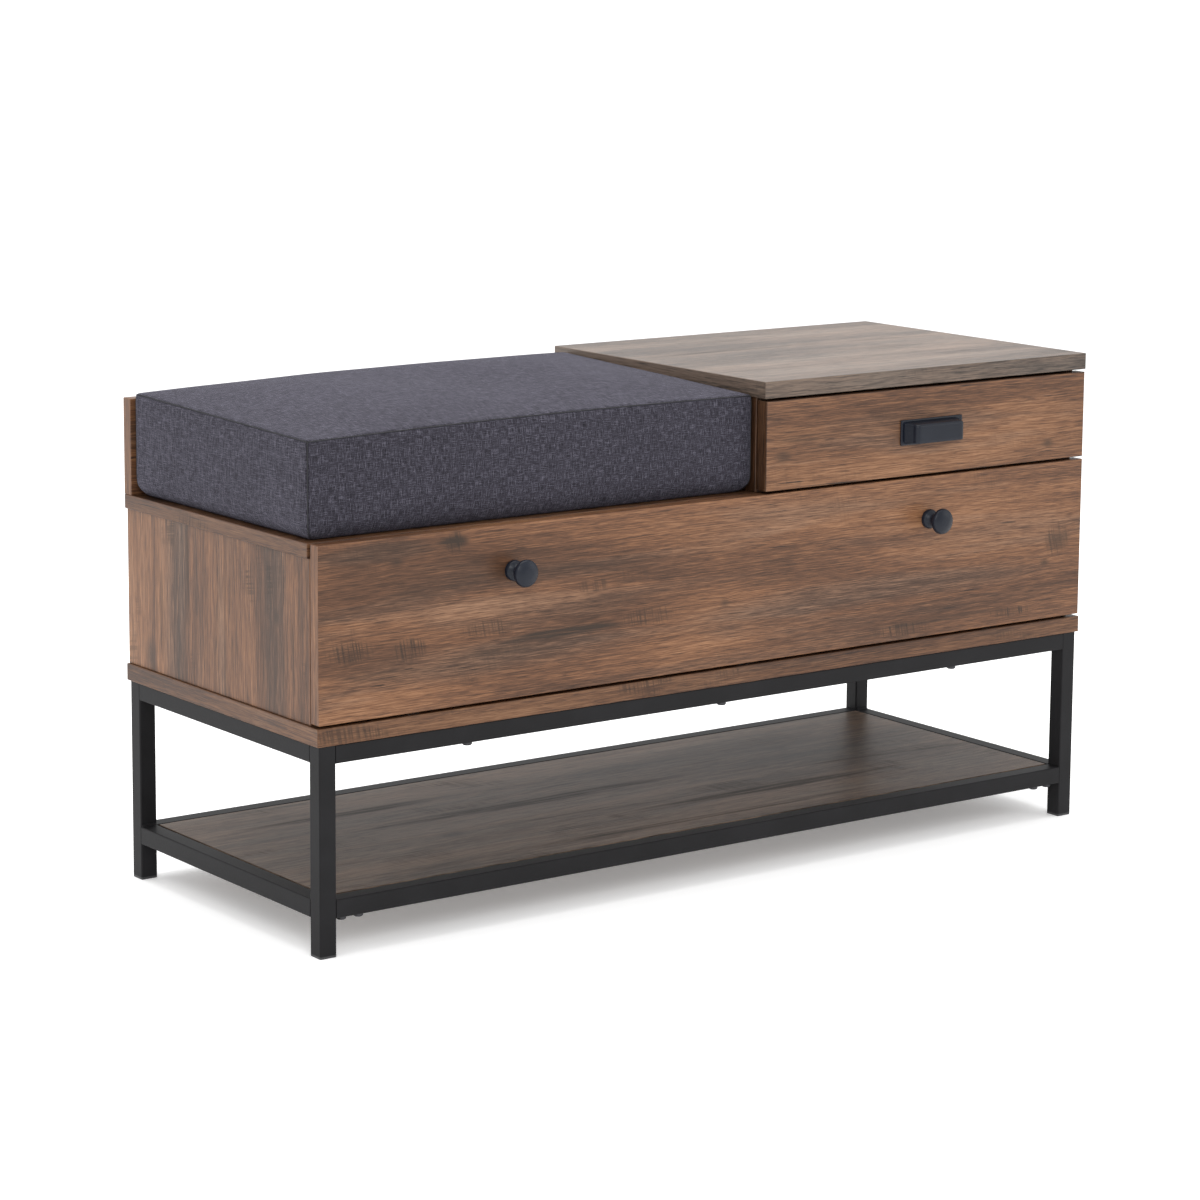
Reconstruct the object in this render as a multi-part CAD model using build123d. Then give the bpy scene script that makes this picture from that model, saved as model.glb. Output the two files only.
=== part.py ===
from build123d import *
import os

# Entryway bench: steel tube frame, flat-pack cabinet with a drop-down door, a drawer bay at the
# right end of the seat, and a loose cushion beside it.
# Millimetres. +Z up, front towards -Y. The origin is on the floor, at the centre of the outline.

# Overall sizes
width = 1016
depth = 381                 # base panel and top board, front to back
height = 533
seat_height = 413           # top of the seat panel
frame_height = 214          # top of the steel frame
top_length = 463            # top board over the drawer bay

# Boards
board = 15                  # sides, seat, divider, upper back
front_board = 15            # door and drawer front
base_board = 18
top_board = 18
drawer_board = 12
thin_board = 5              # lower back and drawer bottom
groove_depth = 5
edge_ease = 0.6             # softened edges of the boards

# Reveals and insets of the cabinet
front_gap = 3               # above and below the door and the drawer front
front_clearance = 3         # behind the door and the drawer front
front_reveal = 1.5          # at the ends of the door and the drawer front
side_inset = 3              # side panels behind the ends of the base panel
top_overhang = 2            # top board past the bay wall
back_panel_inset = 14       # lower back panel in front of the back edges

# Steel frame
tube = 19
tube_wall = 1.2
tube_round = 1.6
frame_end_inset = 3
frame_face_inset = 2
lower_rail_height = 39      # underside of the lower rails
glide_flange = 2.5
glide_plug = 16
glide_wall = 2.5
glide_ease = 0.5
spigot_length = 45
spigot_wall = 2.5
spigot_clearance = 0.4
frame_bolt_radius = 3
frame_bolt_head_radius = 5
frame_bolt_head = 4
frame_bolt_grip = 9
frame_bolt_end = 3          # bolt past the spigot's wall
frame_bolt_places = (11, 31)  # from the leg's face
base_screw_inset = 183      # from the ends
base_screw_bite = 12

# Lower shelf
shelf_drop = 4              # the board is thinner than the rails by this
shelf_gap = 1.5
shelf_tab_reach = 22
shelf_tab_width = 20
shelf_tab = 2
shelf_tab_inset = 188
shelf_screw_share = 0.6     # screw along its tab
button_head = 2             # height of the shelf and pull screws' heads
shelf_screw_radius = 2
shelf_screw_bite = 10

# Flat-pack joints
cam_radius = 7.5
cam_skin = 3                # wood left under a cam lock
cam_setback = 34
cam_bolt_radius = 3
cam_slot = (1.5, 2)         # width and depth of the cross in a cam lock
bolt_skin = 4               # wood left behind the thread of a cam bolt
dowel_radius = 4
dowel_bite = 20
dowel_ease = 0.8
dowel_skin = 5              # wood left behind a dowel
joint_inset = 60            # cam locks from the front and back edges
wood_screw_radius = 2
wood_screw_head = 4
wood_screw_bite = 30
fit_gap = 0.05              # around screws, bolts, cams and dowels

# Drawer
drawer_floor_gap = 8        # under the drawer box
drawer_head_gap = 19        # above the drawer box
drawer_back_gap = 46        # behind the drawer box
drawer_bottom_rise = 8
drawer_screw_bite = 10
drawer_screw_rise = 22      # screws above the box's bottom edge
drawer_screw_drop = 12      # screws below its top edge
slide_thickness = 12.7
slide_end_gap = 5           # slide shorter than the drawer box
slide_height = 35
slide_metal = 1.2
slide_lip = 2
slide_setback = 2           # slides behind the carcass's front edges
outer_rim_gap = 3.2         # outer member's lips inside the slide's thickness
inner_rim_gap = 8.7         # inner member's flanges inside the slide's thickness
ball_gap = 7.2              # centres of the balls inside the slide's thickness
travel_share = 0.7          # of the slide's length
inner_slide_height = 20
ball_radius = 2.8
ball_count = 6
cage_share = 0.28           # length of the ball cage as a share of the slide
cage_metal = 0.8
cage_offset = 2.2           # cage's web off the bay wall
cage_rim = 2.4              # cage's rims past the centres of the balls
slide_screw_radius = 1.75
slide_screw_head = 3.2
slide_screw_bite = 10
outer_screw_shares = (0.12, 0.5, 0.88)
inner_screw_shares = (0.2, 0.8)

# Cup pull
pull_plate_width = 88
pull_plate_height = 28
pull_plate = 2
pull_plate_round = 1.5
pull_plate_ease = 0.5
pull_hood_width = 80
pull_front_width = 69
pull_hood_height = 20
pull_front_height = 18
pull_reach = 17
pull_wall = 1.8
pull_round = 3
pull_screw_spacing = 64

# Door
knob_reach = 28
knob_radius = 14.25
knob_base_radius = 10.5
knob_neck_radius = 5.5
knob_inset = 231            # from the ends
knob_drop = 47              # knob centre below the door's top edge
knob_screw_radius = 2
knob_screw_bite = 12
knob_screw_head = 1.4
knob_base = 3.2             # straight part of the knob's foot
knob_shank = ((1.8, 7), (0, 10.5), (2.2, 15.5))     # past the neck's radius, at each reach
knob_dome = ((1.4, 2.8), (6.4, 0.7))                # inside the head's radius, behind its tip
knob_brow = 6               # widest part of the head behind its tip
pivot_back = 6              # hinge pin behind the door's face
pivot_rise = 6.5            # hinge pin above the door's bottom edge
pin_radius = 1.5
pin_gap = 0.05
ear_radius = 3
ear_width = 2.5
ear_gap = 0.5
socket_width = 12
socket_height = 22
socket_flange = 1.5
socket_flange_width = 34
socket_wall = 0.7
leaf_length = 28
leaf_width = 26
leaf_metal = 1.5
leaf_gap = 1.2              # leaf behind the front edge of the cabinet
leaf_screw_setback = 8      # screws in front of the leaf's back edge
leaf_screw_share = 0.3      # screws either side of its middle, of its width
ear_heel = (0.55, 5)        # share of the leaf's length, and rise, of the ear's back
ear_slope = 3
socket_screw_edge = 4.5
socket_screw_drop = 5
hinge_inset = 118
middle_hinge = 40           # beside the centre divider
catch_inset = 188
catch_radius = 4
catch_depth = 18
catch_gap = 0.4
strike_radius = 7
strike_metal = 1.2
strike_pin = 1.5
strike_pin_length = 8
magnet_ease = 0.4

# Cushion
cushion_thickness = 107
cushion_recess = 4.5        # cushion front behind the seat panel's front edge
cushion_end_gap = 1.2
cushion_bay_gap = 0.2       # cushion off the end of the top board
cushion_lift = 0.3
cushion_round = 8

# Planes that the pieces share
left = -width / 2
right = width / 2
front = (knob_reach - depth) / 2
back = front + depth
carcass_front = front + front_board + front_clearance
base_top = frame_height + base_board
seat_bottom = seat_height - board
bay_top = height - top_board
left_side = left + side_inset
right_side = right - side_inset
left_inner = left_side + board
right_inner = right_side - board
bay_wall_left = right - top_length + top_overhang
bay_wall_right = bay_wall_left + board
upper_back_front = back - board
lower_back_rear = back - back_panel_inset
lower_back_front = lower_back_rear - thin_board

leg_x = (left + frame_end_inset + tube / 2, right - frame_end_inset - tube / 2)
leg_y = (front + frame_face_inset + tube / 2, back - frame_face_inset - tube / 2)
rail_x = (leg_x[0] + tube / 2, leg_x[1] - tube / 2)
rail_y = (leg_y[0] + tube / 2, leg_y[1] - tube / 2)
upper_rail_z = frame_height - tube / 2
lower_rail_z = lower_rail_height + tube / 2
shelf_top = lower_rail_height + tube
shelf_bottom = lower_rail_height + shelf_drop

low = (Align.CENTER, Align.CENTER, Align.MIN)
pieces = {}


def block(x0, x1, y0, y1, z0, z1):
    """Box between two corners."""
    return Pos((x0 + x1) / 2, (y0 + y1) / 2, (z0 + z1) / 2) * Box(x1 - x0, y1 - y0, z1 - z0)


def panel(x0, x1, y0, y1, z0, z1):
    """Board between two corners, with its edges eased."""
    sheet = block(x0, x1, y0, y1, z0, z1)
    return chamfer(sheet.edges(), edge_ease)


def at(origin, direction, shape, x_dir=None):
    """A shape made along +Z, placed so that it points along a direction."""
    return Plane(origin=origin, x_dir=x_dir, z_dir=direction) * shape


def rod(radius, length, start=0):
    """Round bar along +Z from a starting height."""
    return Pos(0, 0, start) * Cylinder(radius, length, align=low)


def drilled(body, tools):
    """A piece with its holes cut."""
    return body - tools if tools else body


def group(solids):
    """Identical pieces kept together as separate solids."""
    return Compound([solid for item in solids for solid in item.solids()])


def square_tube(start, end):
    """Hollow square tube between two points on its own centre line."""
    path = Vector(*end) - Vector(*start)
    skin = RectangleRounded(tube, tube, tube_round)
    bore = RectangleRounded(tube - 2 * tube_wall, tube - 2 * tube_wall, tube_round - tube_wall)
    across = (0, 0, 1) if abs(path.Z) < 1 else (1, 0, 0)
    return at(start, path.normalized(), extrude(skin - bore, path.length), x_dir=across)


def flat_screw(head, radius, length, grow=0):
    """Countersunk screw driven along +Z, its head flush with z = 0."""
    cone = Cone(head + grow, radius + grow, head - radius, align=low)
    return cone + rod(radius + grow, length + grow)


def head_screw(head, head_height, radius, length):
    """Screw driven along +Z, its button head below z = 0 with a hexagon socket."""
    button = chamfer(rod(head, head_height, -head_height).edges().sort_by(Axis.Z)[0], head_height / 4)
    socket = extrude(RegularPolygon(head * 0.45, 6), head_height / 2)
    return button + rod(radius, length) - Pos(0, 0, -head_height) * socket


# ---- Steel frame ----

def frame_bolt_sites():
    """Place and direction of each bolt that holds a long rail on its spigots."""
    sites = []
    for end, sign in ((rail_x[0], 1), (rail_x[1], -1)):
        for reach in frame_bolt_places:
            x = end + sign * reach
            for y, turn in ((leg_y[0], -1), (leg_y[1], 1)):
                sites.append(((x, y, lower_rail_height), (0, 0, 1)))
                sites.append(((x, y - turn * tube / 2, upper_rail_z), (0, turn, 0)))
    return sites


def base_screw_sites():
    """Screws up through the upper long rails into the base panel."""
    return [(x, y) for x in (left + base_screw_inset, 0, right - base_screw_inset) for y in leg_y]


def make_frame():
    """Legs, rails, spigots, bolts and glides."""
    for y, face in zip(leg_y, ("front", "back")):
        for x, side in zip(leg_x, ("left", "right")):
            pieces[f"{face}_{side}_leg"] = square_tube((x, y, glide_flange), (x, y, frame_height))
    for x, side in zip(leg_x, ("left", "right")):
        for z, level in ((upper_rail_z, "upper"), (lower_rail_z, "lower")):
            pieces[f"{side}_{level}_end_rail"] = square_tube((x, rail_y[0], z), (x, rail_y[1], z))

    hole = rod(frame_bolt_radius + fit_gap, frame_bolt_grip + 1, -0.5)
    bolt_holes = [at(place, turn, hole) for place, turn in frame_bolt_sites()]
    screw_hole = rod(frame_bolt_radius + fit_gap, tube + 2, -1)
    base_holes = [Pos(x, y, frame_height - tube) * screw_hole for x, y in base_screw_sites()]
    for y, face in zip(leg_y, ("front", "back")):
        lower = square_tube((rail_x[0], y, lower_rail_z), (rail_x[1], y, lower_rail_z))
        upper = square_tube((rail_x[0], y, upper_rail_z), (rail_x[1], y, upper_rail_z))
        pieces[f"{face}_lower_rail"] = drilled(lower, bolt_holes)
        pieces[f"{face}_upper_rail"] = drilled(upper, bolt_holes + base_holes)

    size = tube - 2 * tube_wall - 2 * spigot_clearance
    sleeve = Rectangle(size, size) - Rectangle(size - 2 * spigot_wall, size - 2 * spigot_wall)
    spigots = []
    for z in (upper_rail_z, lower_rail_z):
        for y in leg_y:
            for x, sign in ((rail_x[0], 1), (rail_x[1], -1)):
                spigot = at((x, y, z), (sign, 0, 0), extrude(sleeve, spigot_length), x_dir=(0, 0, 1))
                spigots.append(drilled(spigot, bolt_holes))
    pieces["rail_spigots"] = group(spigots)

    grip = tube_wall + spigot_clearance + spigot_wall + frame_bolt_end
    bolt = head_screw(frame_bolt_head_radius, frame_bolt_head, frame_bolt_radius, grip)
    pieces["rail_bolts"] = group([at(place, turn, bolt) for place, turn in frame_bolt_sites()])

    plug_size = tube - 2 * tube_wall - 2 * fit_gap
    foot = extrude(RectangleRounded(tube, tube, tube_round), glide_flange)
    foot = chamfer(foot.edges().group_by(Axis.Z)[0], glide_ease)
    plug = extrude(RectangleRounded(plug_size, plug_size, tube_round - tube_wall), glide_plug)
    core_size = plug_size - 2 * glide_wall
    core = Box(core_size, core_size, glide_plug, align=low)
    glide = foot + Pos(0, 0, glide_flange) * (plug - core)
    pieces["leg_glides"] = group([Pos(x, y, 0) * glide for x in leg_x for y in leg_y])


# ---- Lower shelf ----

def make_shelf():
    """Shelf board between the lower rails, on welded tabs."""
    places = []
    for x in (left + shelf_tab_inset, 0, right - shelf_tab_inset):
        places += [((x, rail_y[0]), (0, 1)), ((x, rail_y[1]), (0, -1))]
    middle = (rail_y[0] + rail_y[1]) / 2
    places += [((rail_x[0], middle), (1, 0)), ((rail_x[1], middle), (-1, 0))]

    bite = shelf_tab + shelf_screw_bite
    screw = head_screw(shelf_screw_radius * 2, button_head, shelf_screw_radius, bite)
    hole = rod(shelf_screw_radius + fit_gap, bite + 1, -0.5)
    tabs, screws, holes = [], [], []
    for (x, y), (dx, dy) in places:
        long_x = shelf_tab_reach if dx else shelf_tab_width
        long_y = shelf_tab_reach if dy else shelf_tab_width
        centre = Pos(x + dx * shelf_tab_reach / 2, y + dy * shelf_tab_reach / 2, shelf_bottom - shelf_tab)
        site = Pos(x + dx * shelf_tab_reach * shelf_screw_share,
                   y + dy * shelf_tab_reach * shelf_screw_share, shelf_bottom - shelf_tab)
        holes.append(site * hole)
        screws.append(site * screw)
        tabs.append(centre * Box(long_x, long_y, shelf_tab, align=low) - holes[-1])
    deck = panel(rail_x[0] + shelf_gap, rail_x[1] - shelf_gap, rail_y[0] + shelf_gap,
                 rail_y[1] - shelf_gap, shelf_bottom, shelf_top)
    pieces["shelf_board"] = drilled(deck, holes)
    pieces["shelf_tabs"] = group(tabs)
    pieces["shelf_screws"] = group(screws)


# ---- Cabinet joints ----

def cam_joint(origin, into, face, edge_board, face_board):
    """Cam lock, its bolt and the cuts for both. The local X axis runs into the edge board,
    and the local Z axis points out of the face that shows the cam."""
    frame_plane = Plane(origin=origin, x_dir=into, z_dir=face)
    cam_depth = edge_board - cam_skin
    cam_low = edge_board / 2 - cam_depth
    bite = face_board - bolt_skin
    lock_hole = Pos(cam_setback, 0, cam_low - fit_gap) * rod(cam_radius + fit_gap, cam_depth + 1)
    bolt_bar = at((-bite, 0, 0), (1, 0, 0), rod(cam_bolt_radius, bite + cam_setback))
    sleeve_bar = rod(cam_bolt_radius + fit_gap, bite + cam_setback + 2 * fit_gap)
    sleeve = at((-bite - fit_gap, 0, 0), (1, 0, 0), sleeve_bar)
    slot = at((0, 0, 0), (1, 0, 0), rod(cam_bolt_radius + fit_gap, cam_setback + cam_bolt_radius))
    slot_width, slot_deep = cam_slot
    bar = Box(cam_radius * 1.2, slot_width, slot_deep)
    cross = bar + Rot(0, 0, 90) * bar
    lock = Pos(cam_setback, 0, cam_low) * rod(cam_radius, cam_depth) - slot
    lock = lock - Pos(cam_setback, 0, edge_board / 2) * cross
    made = (lock, bolt_bar, lock_hole + sleeve, sleeve)
    return [frame_plane * shape for shape in made]


def dowel_joint(origin, into, face_board):
    """Fluted dowel across a joint, and its hole."""
    bite = face_board - dowel_skin
    peg = chamfer(rod(dowel_radius, bite + dowel_bite, -bite).edges().filter_by(GeomType.CIRCLE), dowel_ease)
    hole = rod(dowel_radius + fit_gap, bite + dowel_bite + 2 * fit_gap, -bite - fit_gap)
    return at(origin, into, peg), at(origin, into, hole)


def cabinet_joints():
    """Rows of cam locks, each with a dowel, keyed by the joint."""
    side_x = {"left": left_side + board / 2, "middle": 0, "right": right_side - board / 2,
              "wall": bay_wall_left + board / 2}
    up, down = (0, 0, 1), (0, 0, -1)
    near, far = carcass_front + joint_inset, back - joint_inset
    rows = {
        "base_left": (side_x["left"], base_top, up, (1, 0, 0), base_board),
        "base_middle": (side_x["middle"], base_top, up, (1, 0, 0), base_board),
        "base_right": (side_x["right"], base_top, up, (-1, 0, 0), base_board),
        "seat_left": (side_x["left"], seat_bottom, down, (1, 0, 0), board),
        "seat_middle": (side_x["middle"], seat_bottom, down, (-1, 0, 0), board),
        "seat_right": (right_inner, seat_height - board / 2, (-1, 0, 0), down, board),
        "top_wall": (side_x["wall"], bay_top, down, (1, 0, 0), top_board),
        "top_right": (side_x["right"], bay_top, down, (-1, 0, 0), top_board),
    }
    joints = {}
    for name, (x, z, into, face, face_board) in rows.items():
        cams = [cam_joint((x, y, z), into, face, board, face_board) for y in (near, far)]
        peg, hole = dowel_joint((x, (near + far) / 2, z), into, face_board)
        joints[name] = {
            "locks": [cam[0] for cam in cams],
            "bolts": [cam[1] for cam in cams],
            "dowels": [peg],
            "edge": [cam[2] for cam in cams] + [hole],
            "face": [cam[3] for cam in cams] + [hole],
        }
    return joints


def seat_screw_sites():
    """Screws up through the seat panel into the bay wall and the upper back board."""
    wall_x = bay_wall_left + board / 2
    sites = [(wall_x, carcass_front + joint_inset / 2), (wall_x, upper_back_front - joint_inset)]
    span = right_inner - left - 2 * joint_inset
    sites += [(left + joint_inset + span * step / 4, back - board / 2) for step in range(5)]
    return sites


def make_cabinet():
    """Panels of the cabinet and of the drawer bay, with their hardware."""
    joints = cabinet_joints()

    def cuts(side, *names):
        return [tool for name in names for tool in joints[name][side]]

    slot = block(left_inner - groove_depth, right_inner + groove_depth, lower_back_front, lower_back_rear,
                 base_top - groove_depth, seat_bottom + groove_depth)
    pieces["lower_back_panel"] = slot

    screw = head_screw(frame_bolt_head_radius, frame_bolt_head, frame_bolt_radius, tube + base_screw_bite)
    screw_hole = rod(frame_bolt_radius + fit_gap, tube + base_screw_bite + 1)
    base_screws = [Pos(x, y, frame_height - tube) * screw for x, y in base_screw_sites()]
    base_holes = [Pos(x, y, frame_height - tube) * screw_hole for x, y in base_screw_sites()]
    pieces["base_screws"] = group(base_screws)

    base = panel(left, right, front, back, frame_height, base_top)
    leaf_holes = [at(place, turn, slide_screw_hole()) for place, turn in leaf_screw_sites()]
    pieces["bottom_panel"] = drilled(base, base_holes + [slot] + leaf_holes
                                     + cuts("face", "base_left", "base_middle", "base_right"))

    wall = panel(left_side, left_inner, carcass_front, back, base_top, seat_bottom)
    pieces["left_side_panel"] = drilled(wall, [slot] + cuts("edge", "base_left", "seat_left"))

    slide_holes = [at(place, turn, slide_screw_hole()) for place, turn in outer_slide_screw_sites()]
    wall = panel(right_inner, right_side, carcass_front, back, base_top, bay_top)
    tools = [slot] + cuts("edge", "base_right", "top_right") + cuts("face", "seat_right") + slide_holes
    pieces["right_side_panel"] = drilled(wall, tools)

    wall = panel(-board / 2, board / 2, carcass_front, lower_back_front, base_top, seat_bottom)
    pieces["centre_divider"] = drilled(wall, cuts("edge", "base_middle", "seat_middle"))

    seat = panel(left, right_inner, carcass_front, back, seat_bottom, seat_height)
    seat_tool = flat_screw(wood_screw_head, wood_screw_radius, board + wood_screw_bite, fit_gap)
    seat_tools = [Pos(x, y, seat_bottom) * seat_tool for x, y in seat_screw_sites()]
    catch_holes = [at(place, (0, 1, 0), rod(catch_radius, catch_depth)) for place in catch_sites()]
    pieces["seat_panel"] = drilled(seat, [slot] + seat_tools + catch_holes
                                   + cuts("face", "seat_left", "seat_middle") + cuts("edge", "seat_right"))

    wall = panel(bay_wall_left, bay_wall_right, carcass_front, upper_back_front, seat_height, bay_top)
    pieces["bay_wall"] = drilled(wall, cuts("edge", "top_wall") + seat_tools + slide_holes)
    rear = panel(left, right_inner, upper_back_front, back, seat_height, bay_top)
    pieces["upper_back_board"] = drilled(rear, seat_tools)
    lid = panel(right - top_length, right, front, back, bay_top, height)
    pieces["top_board"] = drilled(lid, cuts("face", "top_wall", "top_right"))

    pieces["cam_locks"] = group([lock for joint in joints.values() for lock in joint["locks"]])
    pieces["cam_bolts"] = group([bolt for joint in joints.values() for bolt in joint["bolts"]])
    pieces["wood_dowels"] = group([dowel for joint in joints.values() for dowel in joint["dowels"]])
    seat_screw = flat_screw(wood_screw_head, wood_screw_radius, board + wood_screw_bite)
    pieces["panel_screws"] = group([Pos(x, y, seat_bottom) * seat_screw for x, y in seat_screw_sites()])


# ---- Drawer and its slides ----

drawer_bottom_z = seat_height + drawer_floor_gap
drawer_top_z = bay_top - drawer_head_gap
drawer_left = bay_wall_right + slide_thickness
drawer_right = right_inner - slide_thickness
drawer_front_z = (seat_height + front_gap, bay_top - front_gap)
box_front = front + front_board
box_back = upper_back_front - drawer_back_gap
slide_z = (drawer_bottom_z + drawer_top_z) / 2
slide_front = carcass_front + slide_setback
slide_length = box_back - slide_front - slide_end_gap
slide_travel = slide_length * travel_share
bay_sides = ((bay_wall_right, 1), (right_inner, -1))
cage_length = slide_length * cage_share


def outer_slide_screw_sites():
    """Screws through the outer slide members into the bay's walls."""
    return [((x, slide_front + slide_length * share, slide_z), (-sign, 0, 0))
            for x, sign in bay_sides_inner() for share in outer_screw_shares]


def bay_sides_inner():
    """Face of each outer member that the screw heads sit in, and the way it looks."""
    return [(x + sign * slide_metal, sign) for x, sign in bay_sides]


def inner_slide_screw_sites():
    """Screws through the inner slide members into the drawer's sides."""
    return [((x + sign * (slide_thickness - slide_metal), slide_front + slide_length * share, slide_z),
             (sign, 0, 0)) for x, sign in bay_sides for share in inner_screw_shares]


def slide_screw_hole():
    """Countersunk hole of the slide and hinge screws."""
    return flat_screw(slide_screw_head, slide_screw_radius, slide_screw_bite, fit_gap)


def channel(x, sign, web_start, web_height, metal, rim_start, rim_end, lip):
    """C-shaped member: a web, two flanges and, with a lip, two turned edges."""
    half = web_height / 2
    y0, y1 = slide_front, slide_front + slide_length

    def bar(a, b, z0, z1):
        return block(min(x + sign * a, x + sign * b), max(x + sign * a, x + sign * b), y0, y1, z0, z1)

    shape = bar(web_start, web_start + metal, slide_z - half, slide_z + half)
    for turn in (-1, 1):
        edge = slide_z + turn * half
        inner = edge - turn * metal
        shape += bar(rim_start, rim_end, min(edge, inner), max(edge, inner))
        if lip:
            tip = edge - turn * (metal + lip)
            shape += bar(rim_end - metal, rim_end, min(edge, tip), max(edge, tip))
    return shape


def make_slides():
    """Outer members on the bay walls, inner members on the drawer, balls and cages between."""
    screw = flat_screw(slide_screw_head, slide_screw_radius, slide_screw_bite)
    outer_holes = [at(place, turn, slide_screw_hole()) for place, turn in outer_slide_screw_sites()]
    inner_holes = [at(place, turn, slide_screw_hole()) for place, turn in inner_slide_screw_sites()]
    inner_rim = slide_thickness - inner_rim_gap
    race = (slide_height / 2 - slide_metal + inner_slide_height / 2) / 2
    ball_depth = slide_thickness - ball_gap
    cages, balls = [], []
    for (x, sign), side in zip(bay_sides, ("left", "right")):
        outer = channel(x, sign, 0, slide_height, slide_metal, 0, slide_thickness - outer_rim_gap, slide_lip)
        pieces[f"{side}_outer_slide"] = drilled(outer, outer_holes)
        inner = channel(x, sign, slide_thickness - slide_metal, inner_slide_height, slide_metal,
                        inner_rim, slide_thickness, 0)
        pieces[f"{side}_inner_slide"] = drilled(inner, inner_holes)

        cage_start = slide_front + slide_travel / 2
        near, far = x + sign * cage_offset, x + sign * (cage_offset + cage_metal)
        rim = x + sign * (ball_depth + cage_rim)
        cage = block(min(near, far), max(near, far), cage_start, cage_start + cage_length,
                     slide_z - race, slide_z + race)
        sockets = []
        for turn in (-1, 1):
            height_z = slide_z + turn * race
            cage += block(min(near, rim), max(near, rim), cage_start, cage_start + cage_length,
                          height_z - cage_metal / 2, height_z + cage_metal / 2)
            for step in range(ball_count):
                y = cage_start + cage_length * (step + 0.5) / ball_count
                centre = Pos(x + sign * ball_depth, y, height_z)
                balls.append(centre * Sphere(ball_radius))
                sockets.append(centre * Sphere(ball_radius + fit_gap))
        cages.append(cage - sockets)
    pieces["ball_cages"] = group(cages)
    pieces["slide_balls"] = group(balls)
    inner_screws = [at(place, turn, screw) for place, turn in inner_slide_screw_sites()]
    pieces["inner_slide_screws"] = group(inner_screws)
    fixed = outer_slide_screw_sites() + leaf_screw_sites()
    pieces["slide_and_hinge_screws"] = group([at(place, turn, screw) for place, turn in fixed])


def drawer_screw_sites():
    """Screws through the drawer's sides into its ends, and through the inner front."""
    sites = []
    for z in (drawer_bottom_z + drawer_screw_rise, drawer_top_z - drawer_screw_drop):
        for y in (box_front + drawer_board / 2, box_back - drawer_board / 2):
            sites += [((drawer_left, y, z), (1, 0, 0)), ((drawer_right, y, z), (-1, 0, 0))]
        for x in (drawer_left + joint_inset, drawer_right - joint_inset):
            sites.append(((x, box_front + drawer_board, z), (0, -1, 0)))
    return sites


def make_drawer():
    """Drawer front, box and screws."""
    tool = flat_screw(wood_screw_head, wood_screw_radius, drawer_board + drawer_screw_bite, fit_gap)
    screw_tools = [at(place, turn, tool) for place, turn in drawer_screw_sites()]
    slide_tools = [at(place, turn, slide_screw_hole()) for place, turn in inner_slide_screw_sites()]
    bottom_z = drawer_bottom_z + drawer_bottom_rise
    tray = block(drawer_left + drawer_board - groove_depth, drawer_right - drawer_board + groove_depth,
                 box_front + drawer_board - groove_depth, box_back - drawer_board + groove_depth,
                 bottom_z, bottom_z + thin_board)
    pieces["drawer_bottom"] = tray
    pull_tool = rod(knob_screw_radius + fit_gap, front_board + drawer_board + 1, -0.5)
    pull_holes = [at(place, (0, -1, 0), pull_tool) for place in pull_screw_sites()]
    face = panel(bay_wall_left, right - front_reveal, front, front + front_board, *drawer_front_z)
    pieces["drawer_front"] = drilled(face, screw_tools + pull_holes)
    inner_front = panel(drawer_left + drawer_board, drawer_right - drawer_board, box_front,
                        box_front + drawer_board, drawer_bottom_z, drawer_top_z)
    pieces["drawer_inner_front"] = drilled(inner_front, screw_tools + pull_holes + [tray])
    for x0, side in ((drawer_left, "left"), (drawer_right - drawer_board, "right")):
        wall = panel(x0, x0 + drawer_board, box_front, box_back, drawer_bottom_z, drawer_top_z)
        pieces[f"drawer_{side}_side"] = drilled(wall, screw_tools + slide_tools + [tray])
    rear = panel(drawer_left + drawer_board, drawer_right - drawer_board, box_back - drawer_board,
                 box_back, drawer_bottom_z, drawer_top_z)
    pieces["drawer_back"] = drilled(rear, screw_tools + [tray])
    screw = flat_screw(wood_screw_head, wood_screw_radius, drawer_board + drawer_screw_bite)
    pieces["drawer_box_screws"] = group([at(place, turn, screw) for place, turn in drawer_screw_sites()])


def pull_centre():
    """Middle of the cup pull on the drawer front's face."""
    return ((bay_wall_left + right - front_reveal) / 2, front, sum(drawer_front_z) / 2)


def pull_screw_sites():
    """Screws from inside the drawer into the pull's plate."""
    x, y, z = pull_centre()
    return [(x + side * pull_screw_spacing / 2, box_front + drawer_board, z) for side in (-1, 1)]


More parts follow.
